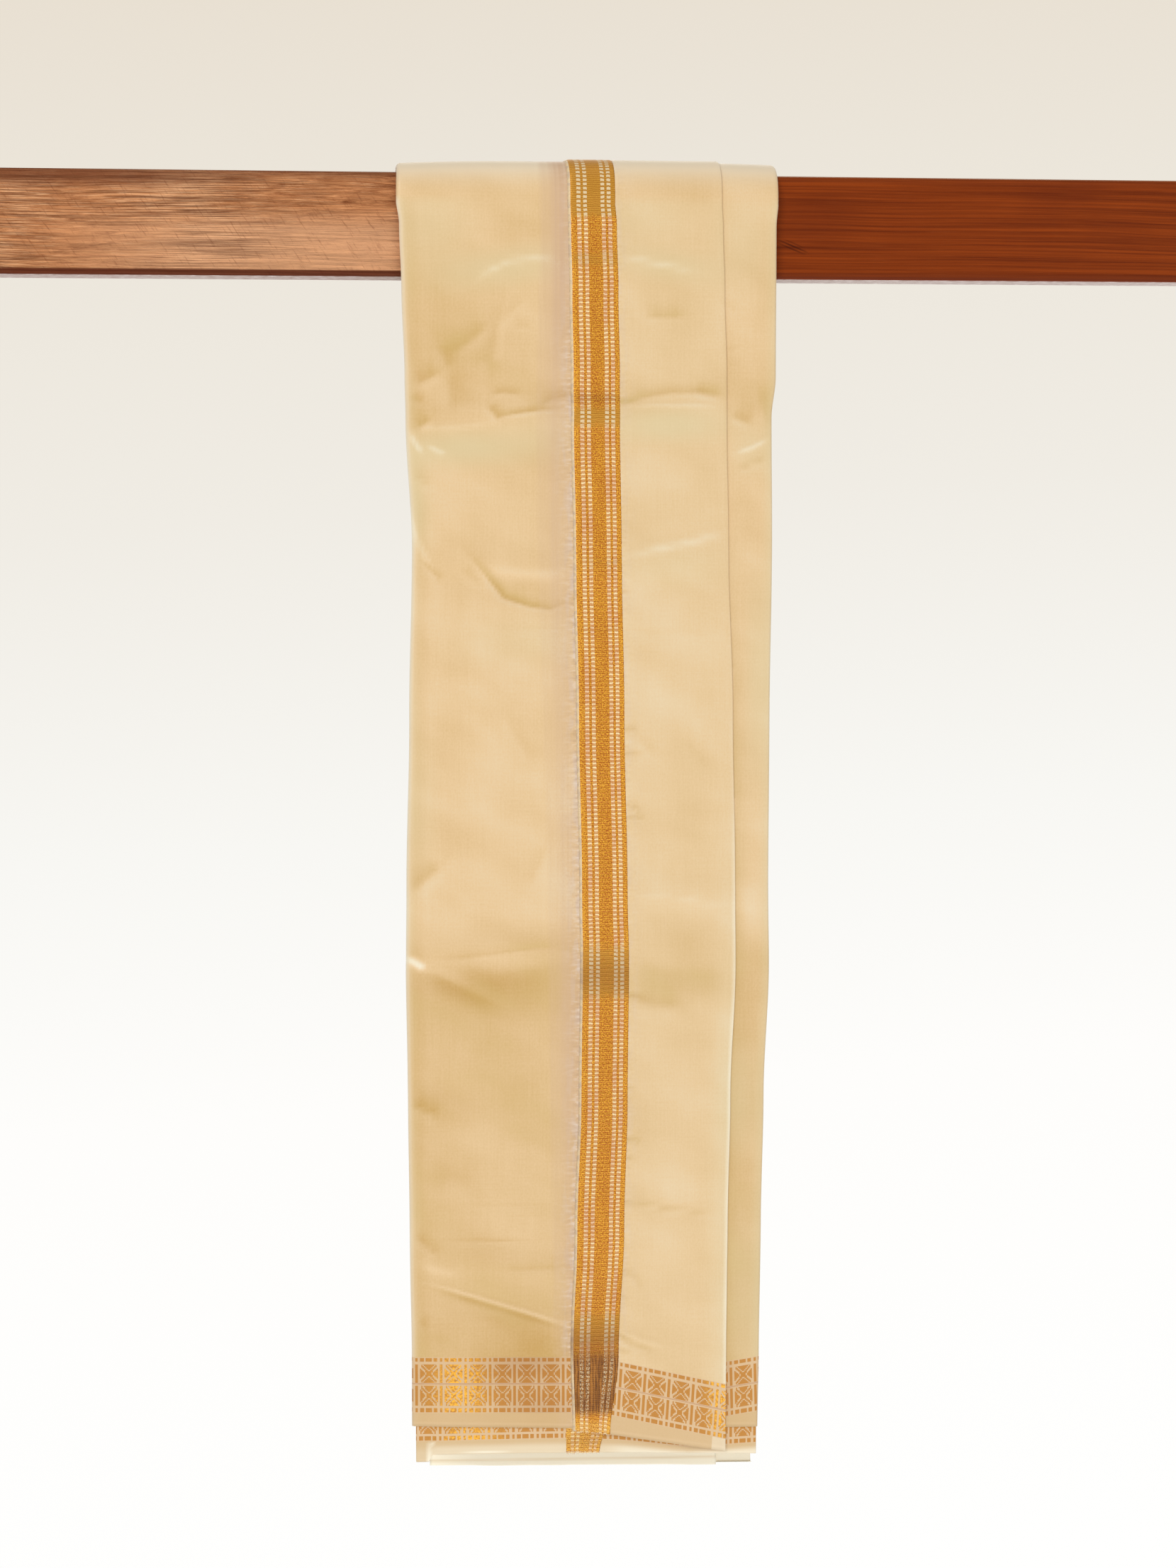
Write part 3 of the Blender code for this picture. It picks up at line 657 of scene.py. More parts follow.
def cloth_map(points, x):
    """Distances across and along the cloth at every point, for the weave."""
    steps = np.linalg.norm(np.diff(points[:, points.shape[1] // 2], axis=0), axis=1)
    along = np.concatenate([[0.0], np.cumsum(steps)])[:, None] + 0 * x
    return np.stack([x + 0 * along, along], axis=-1)


def curled(left, right, depth, shares, radii, curl, steps=6):
    """Places and depths across a sheet whose two edges curl down round what is under it."""
    left_radius, right_radius = radii
    turns = np.radians(np.linspace(curl, 0, steps, endpoint=False))
    left_x = left + left_radius - left_radius * np.sin(turns)
    left_depth = depth - left_radius + left_radius * np.cos(turns)
    right_x = right - right_radius + right_radius * np.sin(turns[::-1])
    right_depth = depth - right_radius + right_radius * np.cos(turns[::-1])
    middle = left + left_radius + (right - right_radius - left - left_radius) * shares
    x = np.concatenate([left_x, middle, right_x], axis=1)
    depths = np.concatenate([left_depth, np.full(len(shares), depth), right_depth])
    return x, depths[None, :] + 0 * x


def add_object(name, data):
    """An object in the scene."""
    made = bpy.data.objects.new(name, data)
    bpy.context.scene.collection.objects.link(made)
    return made


def add_mesh(name, verts, faces, smooth=True):
    """A mesh object in the scene, from points in metres."""
    mesh = bpy.data.meshes.new(name)
    mesh.from_pydata(verts, [], faces)
    if smooth:
        mesh.shade_smooth()
    mesh.update()
    return add_object(name, mesh)


def grid_object(name, points, maps, marks, thickness):
    """A sheet through a grid of points in millimetres, thickened to a closed shell.

    maps are its texture coordinates, each an array of rows by columns by 2, and marks are what
    its material reads point by point, each an array of rows by columns.
    """
    rows, columns = points.shape[:2]
    index = np.arange(rows * columns).reshape(rows, columns)
    faces = np.stack([index[:-1, :-1], index[:-1, 1:], index[1:, 1:], index[1:, :-1]], axis=-1)
    faces = faces.reshape(-1, 4)
    made = add_mesh(name, (points.reshape(-1, 3) * MM).tolist(), faces.tolist())
    for map_name, values in maps.items():
        layer = made.data.uv_layers.new(name=map_name)
        values = values.reshape(-1, 2)[faces.reshape(-1)]
        layer.data.foreach_set("uv", values.astype(np.float32).ravel())
    for mark_name, values in marks.items():
        mark = made.data.attributes.new(mark_name, "FLOAT", "POINT")
        values = values + 0 * points[:, :, 0]
        mark.data.foreach_set("value", values.astype(np.float32).ravel())
    wall = made.modifiers.new("Cloth thickness", "SOLIDIFY")
    wall.thickness = thickness * MM
    wall.offset = -1.0
    return made


def silk_object(name, points, x, chart, thickness=SHEET_THICKNESS, **marks):
    """A sheet of silk. A mark that isn't given is 0 all over."""
    maps = {"Weave": cloth_map(points, x), "Chart": np.stack(chart, axis=-1)}
    return grid_object(name, points, maps, {**dict.fromkeys(SILK_MARKS, 0.0), **marks}, thickness)


def band_map(x, z, line):
    """Chart coordinates on a stretch of the woven band: along it, and up from its lowest line."""
    place, height, slope, lean, first_bar = line
    up = z - height - slope * (x - place)
    return x + lean * up - first_bar, up


def silk_marks(rows, hem, x, own_shades=True, column=1):
    """The marks that the silk's material reads, row by row: tone (painted shade and highlight),
    green and pale (painted sheen).
    """
    z = row_heights(rows, hem, x)
    front = (rows[:, 0:1] == FRONT) * 1.0
    back = (rows[:, 0:1] == BACK) * 1.0
    tone = front * creases_tone(FRONT_CREASES, x, z) + back * creases_tone(BACK_CREASES, x, z)
    if own_shades:
        tone = tone + front * sum(amount * patch(x, z, *where) for *where, amount in SHADES)
        down, *tones = zip(*TONE_DOWN)
        tone = tone + np.interp(-rows[:, 1], down, tones[column - 1])[:, None]
    green = (front + back) * sum(share * patch(x, z, *where) for *where, share in GREEN_ZONES)
    low, high = PALE_SHEEN_ANGLES
    over = 1 - ease((rows[:, 2:3] - low) / (high - low))
    pale = np.where(rows[:, 0:1] == BEND, over * ease(rows[:, 2:3] / 60), 0.0)
    return tone, green, pale + 0 * x


def main_silk():
    """The broad panel, from the left fold to the right fold, over the rail and down the back."""
    rows = whole_rows(MAIN_HEM)
    left, border, fold, right = (edge(rows, name)
                                 for name in ("left", "border_left", "fold", "right"))
    x, depth = curled(left, right, MAIN_OUT, PANEL_SHARES, PANEL_RADII, PANEL_CURL)
    flat_x, flat_depth = curled(left, right, MAIN_OUT, PANEL_SHARES, PANEL_RADII, PANEL_FOOT_CURL)
    low = ease((BACK_FOLD[1] + 26 - rows[:, 1:2]) / 20) * (rows[:, 0:1] >= BACK)
    x, depth = x + low * (flat_x - x), depth + low * (flat_depth - depth)
    under_flap = ease((x - border - 6) / 8) * ease((fold - 6 - x) / 8)
    points = on_drape(rows, MAIN_HEM, x, depth - UNDER_FLAP_DROP * under_flap)
    z = row_heights(rows, MAIN_HEM, x)
    front = rows[:, 0:1] == FRONT
    turn = rows[:, 0:1] == TURN
    tone, green, pale = silk_marks(rows, MAIN_HEM, x)

    # The other end's border and its selvedge show faintly through
    seam, _ = second_border(rows)
    strength = np.interp(-rows[:, 1], *zip(*UNDER_STRENGTH))[:, None]
    step = 0.4 * ease((x - seam + 9) / 3) + 0.6 * ease((x - seam + 3) / 9)
    under = strength * step * (1 - ease((x - border - 6) / 6)) * ~turn

    # The band's chart, on the panel and on its strip at the right
    on_strip = x > STRIP_CHART_X
    band_u, band_v = band_map(x, z, MAIN_BAND)
    strip_u, strip_v = band_map(x, z, STRIP_BAND)
    chart_v = np.where(front, np.where(on_strip, strip_v, band_v), NO_BAND)

    # Puckers at the border's seam, and painted shade along its tucks
    from_seam = border - SELVEDGE_WIDTH - x
    pucker = np.exp(-np.maximum(0, from_seam) / 4.5) * (x < border + 3)
    pucker = pucker * (0.3 + 0.7 * ease((-40 - z) / 60))
    tone = tone + front * tuck_share(LEFT_TUCKS, from_seam, z)

    # Painted highlights and sheen on the rims of the two side folds, painted shade inside them and
    # beside the flap's fold
    inside = ease((x - left - 1.2) / 2.5) * (1 - ease((x - left - 7) / 9))
    tone = tone + front * (0.9 * bell(x, left, 1.1) - 0.26 * inside)
    pale = pale + 0.75 * front * bell(x, left, 2.4)
    uneven = 0.6 + 0.4 * np.sin(z / 41 + 0.8) * np.sin(z / 17)
    green = green + 0.42 * front * uneven * (1 - ease((x - left - 1) / 11))
    strip_shade = (x > fold) * np.exp(-np.maximum(0, x - fold) / 7.0) * ease((-180 - z) / 200)
    tone = tone + front * (0.6 * bell(x, right, 1.2) - 0.75 * strip_shade)
    green = green + front * (0.5 * (1 - ease((right - x - 1) / 9)) + 0.3 * strip_shade)

    # Round the back's turned fold the silk takes painted light, in place of light through the thin
    # cloth
    return silk_object(
        "silk_main", points, x, (np.where(on_strip, strip_u, band_u), chart_v),
        tone=tone, green=green, under=under, pucker=pucker, pale=pale,
        glint=bell(x, *MAIN_GLINT[:2]) * bell(z, *MAIN_GLINT[2:]) * front,
        sheer=turn * ease((rows[:, 2:3] - 2) / 26))


def flap_silk():
    """The narrow layer on top: it runs under the gold border and turns under at its fold."""
    rows = whole_rows(FLAP_HEM)
    left = edge(rows, "border_left") + 0.5
    border, fold = edge(rows, "border_right"), edge(rows, "fold")
    centre = fold - FLAP_RADIUS
    turns = np.radians(np.linspace(0, 180, 7))
    under_border = left + (border - FLAP_RADIUS - left) * np.linspace(0, 1, 4)
    face = border + (centre - border) * np.linspace(0.006, 1, 28, endpoint=False)
    turned = centre + FLAP_RADIUS * np.sin(turns)
    below = centre - np.array([4.0, 9.0, 14.0])
    x = np.concatenate([under_border, face, turned, below], axis=1)
    depths = np.concatenate([
        np.full(4, FLAP_OUT - FLAP_RADIUS), np.full(28, FLAP_OUT),
        FLAP_OUT - FLAP_RADIUS + FLAP_RADIUS * np.cos(turns),
        np.full(3, FLAP_OUT - 2 * FLAP_RADIUS)])
    points = on_drape(rows, FLAP_HEM, x, depths[None, :] + 0 * x)
    z = row_heights(rows, FLAP_HEM, x)
    front = rows[:, 0:1] == FRONT
    tone, green, pale = silk_marks(rows, FLAP_HEM, x, column=2)
    band_u, band_v = band_map(x, z, FLAP_BAND)
    tone = tone + front * tuck_share(RIGHT_TUCKS, x - border, z)
    # Painted shade on the fold's upper part and painted highlight on its lower part; low down beside
    # the fold, painted highlight and sheen
    at_fold = bell(x - fold, -0.4, 0.8) * front
    tone = tone + at_fold * (1.1 * ease((-300 - z) / 300) - 0.2 * ease((z + 330) / 200))
    near_fold = ease((x - fold + 22) / 20) * ease((-380 - z) / 250) * front
    return silk_object(
        "silk_flap", points, x, (band_u, np.where(front, band_v, NO_BAND)),
        tone=tone + 0.28 * near_fold, green=green + 0.3 * near_fold + 0.18 * front, pale=pale,
        pucker=np.exp(-np.maximum(0, x - border) / 5.0) * 0.3,
        glint=bell(x, *FLAP_GLINT[:2]) * bell(z, *FLAP_GLINT[2:]) * front,
        # The corner mark: painted light through the flap's thin right corner below its band
        corner=ease((x - 80) / 4) * front)


def gold_marks(rows, z):
    """Where the gold is smooth, gathered at the foot, or sparkling."""
    front = (rows[:, 0:1] == FRONT) | (rows[:, 0:1] == BEND)
    smooth = sum(share * ease((z - low + 7) / 14) * ease((high + 7 - z) / 14)
                 for low, high, share in SMOOTH_GOLD)
    foot = ease((GOLD_FOOT_Z + 6 - z) / 12) * ease((z - GOLD_SPARK_Z - 2) / 8) * front
    spark = ease((GOLD_SPARK_Z + 4 - z) / 8) * front
    return smooth, foot, spark


def gold_strip(name, rows, hem, left, right, outer):
    """A ribbed gold strip between two edges, with its pale selvedge at the left."""
    shares, sinks = zip(*GOLD_PROFILE)
    width = right - left
    x = np.concatenate([left - SELVEDGE_WIDTH, left + width * np.array(shares)], axis=1)
    depth = np.array([SELVEDGE_SINK, *sinks])[None, :] + outer + 0 * x
    along = cloth_map(on_drape(rows, hem, x, depth), x)[:, :, 1]
    ribbed = RIB_HEIGHT * np.cos(2 * pi * along / DASH_PITCH)
    points = on_drape(rows, hem, x, depth + ribbed * (x > left + 0.2))
    z = row_heights(rows, hem, x)
    smooth, foot, spark = gold_marks(rows, np.where(rows[:, 0:1] == BEND, BEND_GOLD_Z, z))
    # Painted shade on the gold, from the creases and the folds
    tone, _, _ = silk_marks(rows, hem, x, own_shades=False)
    tone = tone + sum(dark * bell(z, height, half) for height, half, dark in GOLD_SHADES)
    maps = {"Weave": np.stack([x, along], axis=-1),
            "Chart": np.stack([(x - left) / width, along], axis=-1)}
    marks = {"tone": tone, "smooth": smooth, "foot": foot, "spark": spark}
    return grid_object(name, points, maps, marks, BORDER_THICKNESS)


def main_gold():
    """The gold border woven along the flap's left edge, on the front, the bend and the back."""
    rows = front_rows(FLAP_HEM, (), 0.75, 0.75) + bend_rows(60)
    rows += back_rows(BACK_FOLD[1] + TURN_UP, 1.0) + turn_rows()
    rows = np.array(rows)
    return gold_strip("gold_border", rows, FLAP_HEM, edge(rows, "border_left"),
                      edge(rows, "border_right"), FLAP_OUT)


def second_border(rows):
    """The other end's border on each row: its left edge and its right edge."""
    return [eased(SECOND_SECTIONS, column, rows[:, 1])[:, None] for column in (1, 2)]


def second_silk():
    """The other end's panel, whose band and hem show below the first hem."""
    rows = np.array(front_rows(SECOND_HEM, ((-920, -860),), 1.5, 12.0))
    left, right = edge(rows, "left") + 3.0, edge(rows, "right") - 1.0
    x, depth = curled(left, right, SECOND_OUT, np.linspace(0, 1, 90), (0.9, 0.9), 110, steps=4)
    z = row_heights(rows, SECOND_HEM, x)
    near_foot = ease((-872 - z) / 20)

    # The corner at the left, behind a slanted edge, lies deeper and hangs lower
    from_slant = x - SLANT_X - SLANT * (z - SLANT_Z)
    corner = 1 - ease(from_slant / 2.5)
    border, border_right = second_border(rows)
    below_gold = ease((x - border + 1.5) / 1.5) * ease((border_right + 1.5 - x) / 1.5)
    depth = depth - 0.6 * near_foot * corner - 0.9 * below_gold
    depth = depth + near_foot * 0.35 * np.sin(x / 9.0 + 0.6) * np.sin(x / 23.0)
    points = on_drape(rows, SECOND_HEM, x, depth, creased=0.0)
    lower = np.clip((SLANT_DROP_Z - z) / SLANT_DROP_HEIGHT, 0, 1)
    points[:, :, 2] -= SLANT_DROP * corner * lower

    up = z - np.interp(x, *zip(*SECOND_BAND_LINE))
    # Painted highlights along the hem and the slanted edge, painted light through the thin silk
    # below the band, and painted shade on the deeper corner
    hem_glare = bell(z, level(SECOND_HEM, x) + 1.3, 0.9) * patch(x, z, -78, -903, 40, 30, 0)
    edge_glare = bell(from_slant, 0.0, 1.6) * (up < BAND_EDGE) * near_foot
    sheer = ease((-2.0 - up) / 5) * (0.4 + 0.25 * ease((x - 10) / 20)) * (1 - 0.5 * corner)
    return silk_object(
        "silk_second", points, x, (x - SECOND_FIRST_BAR, up),
        tone=-0.3 * corner * near_foot,
        green=near_foot * (0.75 + 0.4 * corner) * (up < BAND_EDGE),
        glint=bell(x, *SECOND_GLINT) * near_foot,
        sheer=np.maximum(sheer, 0.9 * np.maximum(hem_glare, edge_glare)))


def second_gold():
    """The other end's gold border, whose tip hangs out below the first hem."""
    rows = np.array(front_rows(SECOND_HEM, ((-920, -870),), 0.75, 9.0))
    return gold_strip("gold_second", rows, SECOND_HEM, *second_border(rows), SECOND_OUT - 0.15)


def frayed_ends():
    """Short cut threads along the ends of the two gold borders."""
    verts, faces = [], []
    rng = np.random.default_rng(7)
    for left, right, hem, outer in FRAYED_ENDS:
        for place in np.linspace(left, right, THREADS_AN_END):
            x = place + rng.uniform(-0.3, 0.3)
            top = float(level(hem, x)) + 1.0
            length = rng.uniform(1.2, 2.6)
            lean = rng.uniform(-0.5, 0.5)
            y = -(HALF_DEPTH + outer - 0.1 - rng.uniform(0, 0.15)) - float(
                folds_relief(FRONT_FOLDS, np.array([x]), np.array([top]))[0])
            first = len(verts)
            for end, half in ((0.0, 0.16), (1.0, 0.09)):
                cx, cz = x + lean * end, top - length * end
                verts += [(cx - half, y, cz), (cx, y - half, cz), (cx + half, y, cz),
                          (cx, y + half, cz)]
            for side in range(4):
                after = (side + 1) % 4
                faces.append((first + side, first + 4 + side, first + 4 + after, first + after))
            faces.append((first, first + 1, first + 2, first + 3))
            faces.append((first + 7, first + 6, first + 5, first + 4))
    verts = [tuple(v * MM for v in vert) for vert in verts]
    return add_mesh("frayed_threads", verts, faces, smooth=False)


def loop_silk():
    """The lowest folded sheet, on the back drop's side that faces the rail."""
    low = LOOP_FOLD[1]
    half = (LOOP_OUT - LOOP_IN) / 2
    rows = [(z, LOOP_OUT) for z in spaced(low + half, low + 40, (), 4.0, 4.0)[::-1]]
    rows += [(low + half - half * sin(radians(a)), LOOP_IN + half - half * cos(radians(a)))
             for a in np.linspace(180, 0, 9)[1:-1]]
    rows += [(z, LOOP_IN) for z in spaced(low + half, LOOP_TOP_Z, ((-960, -906),), 1.2, 12.0)]
    heights, depths = (np.array(v)[:, None] for v in zip(*rows))
    at_back = np.zeros((len(rows), 4))
    at_back[:, 0] = BACK
    at_back[:, 1] = heights[:, 0]
    left, right = edge(at_back, "left") + 8.0, edge(at_back, "fold")
    x = left + (right - left) * np.linspace(0, 1, 70)
    lean = 1 - ease((heights - low) / LEAN_REACH)
    wave = 0.9 * np.sin(x / 21.0 + 0.7) + 0.5 * np.sin(x / 8.7)
    z = heights + lean * (level(LOOP_FOLD, x) - low + np.minimum(0.0, wave * 0.5) + 0.3)
    z = np.maximum(z, level(LOOP_FOLD, x))
    points = np.stack([x, HALF_DEPTH + depths + 0 * x, z], axis=-1)
    # Painted light through the lowest sheet's thin silk, lessened along a painted shade line at its
    # fold
    fold_line = bell(z - level(LOOP_FOLD, x) - 0.01 * x, 5.2, 1.0)
    return silk_object(
        "silk_loop", points, x, (x, NO_BAND + 0 * x), LOOP_THICKNESS,
        tone=0.35 * np.sin(x / 15.0) * lean - 0.5 * fold_line, green=0.45 * lean + 0 * x,
        sheer=lean * (1 - 0.5 * fold_line))


def hug(rows, x, depth):
    """The innermost face: flat along the rail's front, top and back."""
    turn = np.radians(rows[:, 2:3])
    kind = rows[:, 0:1]
    c, s = np.cos(turn), np.sin(turn)
    reach = np.maximum(np.abs(c), s)
    rise = RAIL_TOP + depth - SPRING_Z
    flat_y = np.where(kind == FRONT, -1.0, 1.0) * (HALF_DEPTH + depth)
    y = np.where(kind == BEND, (HALF_DEPTH + depth) * c / reach, flat_y)
    z = np.where(kind == BEND, SPRING_Z + rise * s / reach, row_heights(rows, PACK_HEM, x))
    return np.stack([x + 0 * y, y + 0 * x, z + 0 * x], axis=-1)


def pack_side(upper, under, along, outward, seed):
    """A rounded fold for each layer, from the stack's upper corner to the one under it."""
    rings = []
    rng = np.random.default_rng(seed)
    for layer in range(PACK_LAYERS):
        phases = rng.uniform(0, 6, 3)
        inset = 0.7 + 0.5 * np.sin(along / 97 + phases[0]) + 0.4 * np.sin(along / 41 + phases[1])
        for step in (0.125, 0.375, 0.625, 0.875):
            share = (layer + step) / PACK_LAYERS
            shift = np.array([outward, 0.0, 0.0]) * (FOLD_BULGE * sin(pi * step) - inset)
            rings.append(upper + (under - upper) * share + shift)
    return np.stack(rings, axis=1)


def folded_pack():
    """The hidden layers as one soft stack."""
    rows = front_rows(PACK_HEM, (), 6.0, 6.0) + bend_rows(24)
    rows += back_rows(BACK_FOLD[1] + 3.0, 8.0) + [(BACK, BACK_FOLD[1] + 0.9, 0.0, 1.0)]
    rows = np.array(rows)
    kind = rows[:, 0:1]
    outer = np.where(kind == FRONT, PACK_OUT, SECOND_OUT - 0.1)
    outer[-1] = PACK_FOOT_OUT
    inner = np.where(kind == BACK, PACK_BACK_IN, LOOP_IN)
    on_bend, at_left, at_right = PACK_INSETS
    left = edge(rows, "left") + np.where(kind == BEND, on_bend, at_left)
    right = edge(rows, "right") - at_right
    x = left + (right - left) * np.linspace(0, 1, 14)
    top = on_drape(rows, PACK_HEM, x, outer + 0 * x, creased=0.0)
    low = hug(rows, x[:, ::-1], inner + 0 * x)
    along = cloth_map(top, x)[:, :1, 1]
    right_side = pack_side(top[:, -1], low[:, 0], along, 1.0, 3)
    left_side = pack_side(top[:, 0], low[:, -1], along, -1.0, 4)[:, ::-1]
    ring = np.concatenate([top, right_side, low, left_side], axis=1)
    count = ring.shape[1]
    index = np.arange(len(rows) * count).reshape(len(rows), count)
    turned = np.roll(index, -1, axis=1)
    faces = np.stack([index[:-1], turned[:-1], turned[1:], index[1:]], axis=-1)
    faces = faces.reshape(-1, 4).tolist()
    faces += [index[0][::-1].tolist(), index[-1].tolist()]
    made = add_mesh("silk_pack", (ring.reshape(-1, 3) * MM).tolist(), faces)
    made.data.set_sharp_from_angle(angle=radians(60))
    return made


def linear(red, green, blue):
    """A screen colour, 0 to 255 a channel, as the linear colour that a shader takes."""
    channels = [value / 255 for value in (red, green, blue)]
    return [v / 12.92 if v <= 0.04045 else ((v + 0.055) / 1.055) ** 2.4 for v in channels]


class Term:
    """A number in a material's nodes, so that a pattern reads as plain sums."""

    def __init__(self, tree, socket):
        self.tree = tree
        self.socket = socket

    def math(self, operation, *others):
        node = self.tree.nodes.new("ShaderNodeMath")
        node.operation = operation
        for slot, item in zip(node.inputs, (self, *others)):
            if isinstance(item, Term):
                self.tree.links.new(item.socket, slot)
            else:
                slot.default_value = item
        return Term(self.tree, node.outputs[0])

    __add__ = partialmethod(math, "ADD")
    __sub__ = partialmethod(math, "SUBTRACT")
    __mul__ = partialmethod(math, "MULTIPLY")
    __truediv__ = partialmethod(math, "DIVIDE")
    size = partialmethod(math, "ABSOLUTE")
    wrapped = partialmethod(math, "FLOORED_MODULO")
    snapped = partialmethod(math, "SNAP")
    above = partialmethod(math, "GREATER_THAN")
    below = partialmethod(math, "LESS_THAN")
    either = partialmethod(math, "MAXIMUM")

    def between(self, low, high):
        return self.above(low) * self.below(high)

    def clamped(self):
        node = self.tree.nodes.new("ShaderNodeClamp")
        self.tree.links.new(self.socket, node.inputs["Value"])
        return Term(self.tree, node.outputs[0])

    def over(self, start, gain):
        """A rise from 0 to 1 past a start, or down from it where the gain is below 0."""
        return ((self - start) * gain).clamped()

    def swing(self, amount):
        """How far noise is from its middle, times an amount."""
        return (self - 0.5) * amount

    def ripple(self, pitch, shape="SINE"):
        """An even wave from 0 to 1."""
        return (self * (2 * pi / pitch)).math(shape) * 0.5 + 0.5


def any_of(terms):
    """1 where any of the terms is 1."""
    return reduce(Term.either, terms)


class Look:
    """One material on a Principled shader. Its paint is the colour so far."""

    def __init__(self, name, paint=None):
        self.material = bpy.data.materials.new(name)
        self.material.use_nodes = True
        self.tree = self.material.node_tree
        self.shader = self.tree.nodes["Principled BSDF"]
        self.paint = paint

    def node(self, kind):
        return self.tree.nodes.new("ShaderNode" + kind)

    def link(self, socket, slot):
        self.tree.links.new(socket, slot)

    def set(self, **values):
        """Set the shader's inputs, named in small letters with _ for a space."""
        for name, value in values.items():
            title = name.replace("_", " ").title().replace("Ior", "IOR")
            self.shader.inputs[title].default_value = value

    def drive(self, name, term):
        self.link(term.socket, self.shader.inputs[name])

    def parts(self, socket):
        """A vector's coordinates, as three terms."""
        node = self.node("SeparateXYZ")
        self.link(socket, node.inputs[0])
        return [Term(self.tree, output) for output in node.outputs]

    def map(self, name):
        """The two coordinates of a texture map."""
        node = self.node("UVMap")
        node.uv_map = name
        return self.parts(node.outputs[0])[:2]

    def place(self):
        """The object's own coordinates."""
        return self.parts(self.node("TexCoord").outputs["Object"])

    def mark(self, name):
        """A value that the mesh holds at each point."""
        node = self.node("Attribute")
        node.attribute_name = name
        return Term(self.tree, node.outputs["Fac"])

    def noise(self, *place, detail=2.0, roughness=0.5, distortion=0.0):
        """Noise, 0 to 1, at coordinates that are already stretched."""
        joined = self.node("CombineXYZ")
        for slot, term in zip(joined.inputs, place):
            self.link(term.socket, slot)
        node = self.node("TexNoise")
        settings = (("Scale", 1.0), ("Detail", detail), ("Roughness", roughness),
                    ("Distortion", distortion))
        for name, value in settings:
            node.inputs[name].default_value = value
        self.link(joined.outputs[0], node.inputs["Vector"])
        return Term(self.tree, node.outputs["Fac"])

    def mix(self, share, first, second):
        """A colour between two, each a list of numbers or an earlier mix."""
        node = self.node("Mix")
        node.data_type = "RGBA"
        self.link(share.socket, node.inputs["Factor"])
        for slot, colour in ((node.inputs[6], first), (node.inputs[7], second)):
            if isinstance(colour, list):
                slot.default_value = (*colour, 1.0)
            else:
                self.link(colour, slot)
        return node.outputs[2]

    def tint(self, share, colour):
        """Lay a colour over the paint."""
        self.paint = self.mix(share, self.paint, colour)

    def bump(self, height, distance, strength=1.0):
        """Relief too fine for the mesh; distance is its height in metres."""
        node = self.node("Bump")
        node.inputs["Strength"].default_value = strength
        node.inputs["Distance"].default_value = distance
        self.link(height.socket, node.inputs["Height"])
        self.link(node.outputs[0], self.shader.inputs["Normal"])

    def done(self):
        """The material, with its paint on the shader."""
        self.link(self.paint, self.shader.inputs["Base Color"])
        return self.material


SILK = linear(226, 195, 149)
SILK_SHADE = linear(196, 156, 86)
SILK_GLARE = linear(238, 229, 205)
SILK_GREEN = linear(216, 201, 158)
SILK_OLIVE_SHADE = linear(213, 188, 128)
SILK_UNDER = linear(206, 172, 138)
SILK_PALE_SHEEN = linear(230, 213, 185)
PUCKER_SHEEN = linear(208, 188, 174)
# Near-white painted light, for thin silk lit from behind
PAINTED_LIGHT_CREAM = linear(250, 243, 221)
PLEAT_SHADE = linear(186, 152, 120)
PLEAT_GLARE = linear(232, 216, 202)
PACK_CREAM = linear(230, 206, 162)
BAND_GROUND = linear(216, 182, 141)
BAND_LINE = linear(170, 110, 80)
BAND_SHADE = linear(140, 82, 34)
HEM_GROUND = linear(209, 176, 130)
BRONZE = linear(191, 128, 42)
GLINT = linear(252, 184, 42)
GOLD_BRIGHT = linear(244, 182, 54)
GOLD_DEEP = linear(172, 90, 12)
GOLD_SPECK = linear(176, 150, 92)
GOLD_STAR = linear(255, 224, 130)
GOLD_SHADE = linear(120, 66, 22)
OCHRE = linear(210, 156, 58)
OCHRE_DEEP = linear(178, 120, 30)
FOOT_BROWN = linear(98, 56, 18)
FOOT_GOLD = linear(172, 112, 44)
FOOT_SHADE = linear(112, 62, 18)
DASH_WHITE = linear(226, 206, 166)
DASH_CREAM = linear(250, 232, 184)
DASH_PINK = linear(236, 204, 168)
DASH_ORANGE = linear(194, 118, 34)
SELVEDGE = linear(230, 206, 166)
STITCH = linear(206, 184, 160)
THREAD_CREAM = linear(240, 232, 220)
THREAD_GOLD = linear(214, 158, 84)
SAWN_AND_SHEEN = linear(218, 150, 100)
SAWN_DEEP = linear(128, 70, 36)
SAWN_FIBRE_SHEEN = linear(240, 186, 140)
SAWN_LOW = linear(238, 184, 142)
SAWN_MARK = linear(128, 70, 44)
SAWN_CRACK = linear(96, 46, 26)
POLISHED = linear(146, 62, 14)
POLISHED_DEEP = linear(100, 36, 6)
POLISHED_FIBRE = linear(154, 74, 30)
POLISHED_CLOUD = linear(94, 32, 8)
KNOT_RING = linear(60, 20, 6)
RAIL_TOP_SHADE = linear(112, 60, 36)
RAIL_TOP_LINE = linear(156, 100, 64)
RAIL_FOOT_SHADE = linear(92, 38, 20)
RAIL_UNDER_DEEP = linear(172, 150, 142)
RAIL_UNDER = linear(214, 200, 196)

# Pitches of the finest threads, in millimetres
TWILL_PITCH = 0.95
STRAND_PITCH = 2.3
# Where the rail's edges start to look different, in metres from its middle
TOP_SHADE_Z, TOP_EDGE_Z, TOP_LINE_Z = 0.0215, 0.031, 0.0366
FOOT_SHADE_Z, UNDERSIDE_Z = -0.0322, -0.0371
SAWN_END_X = 0.4598


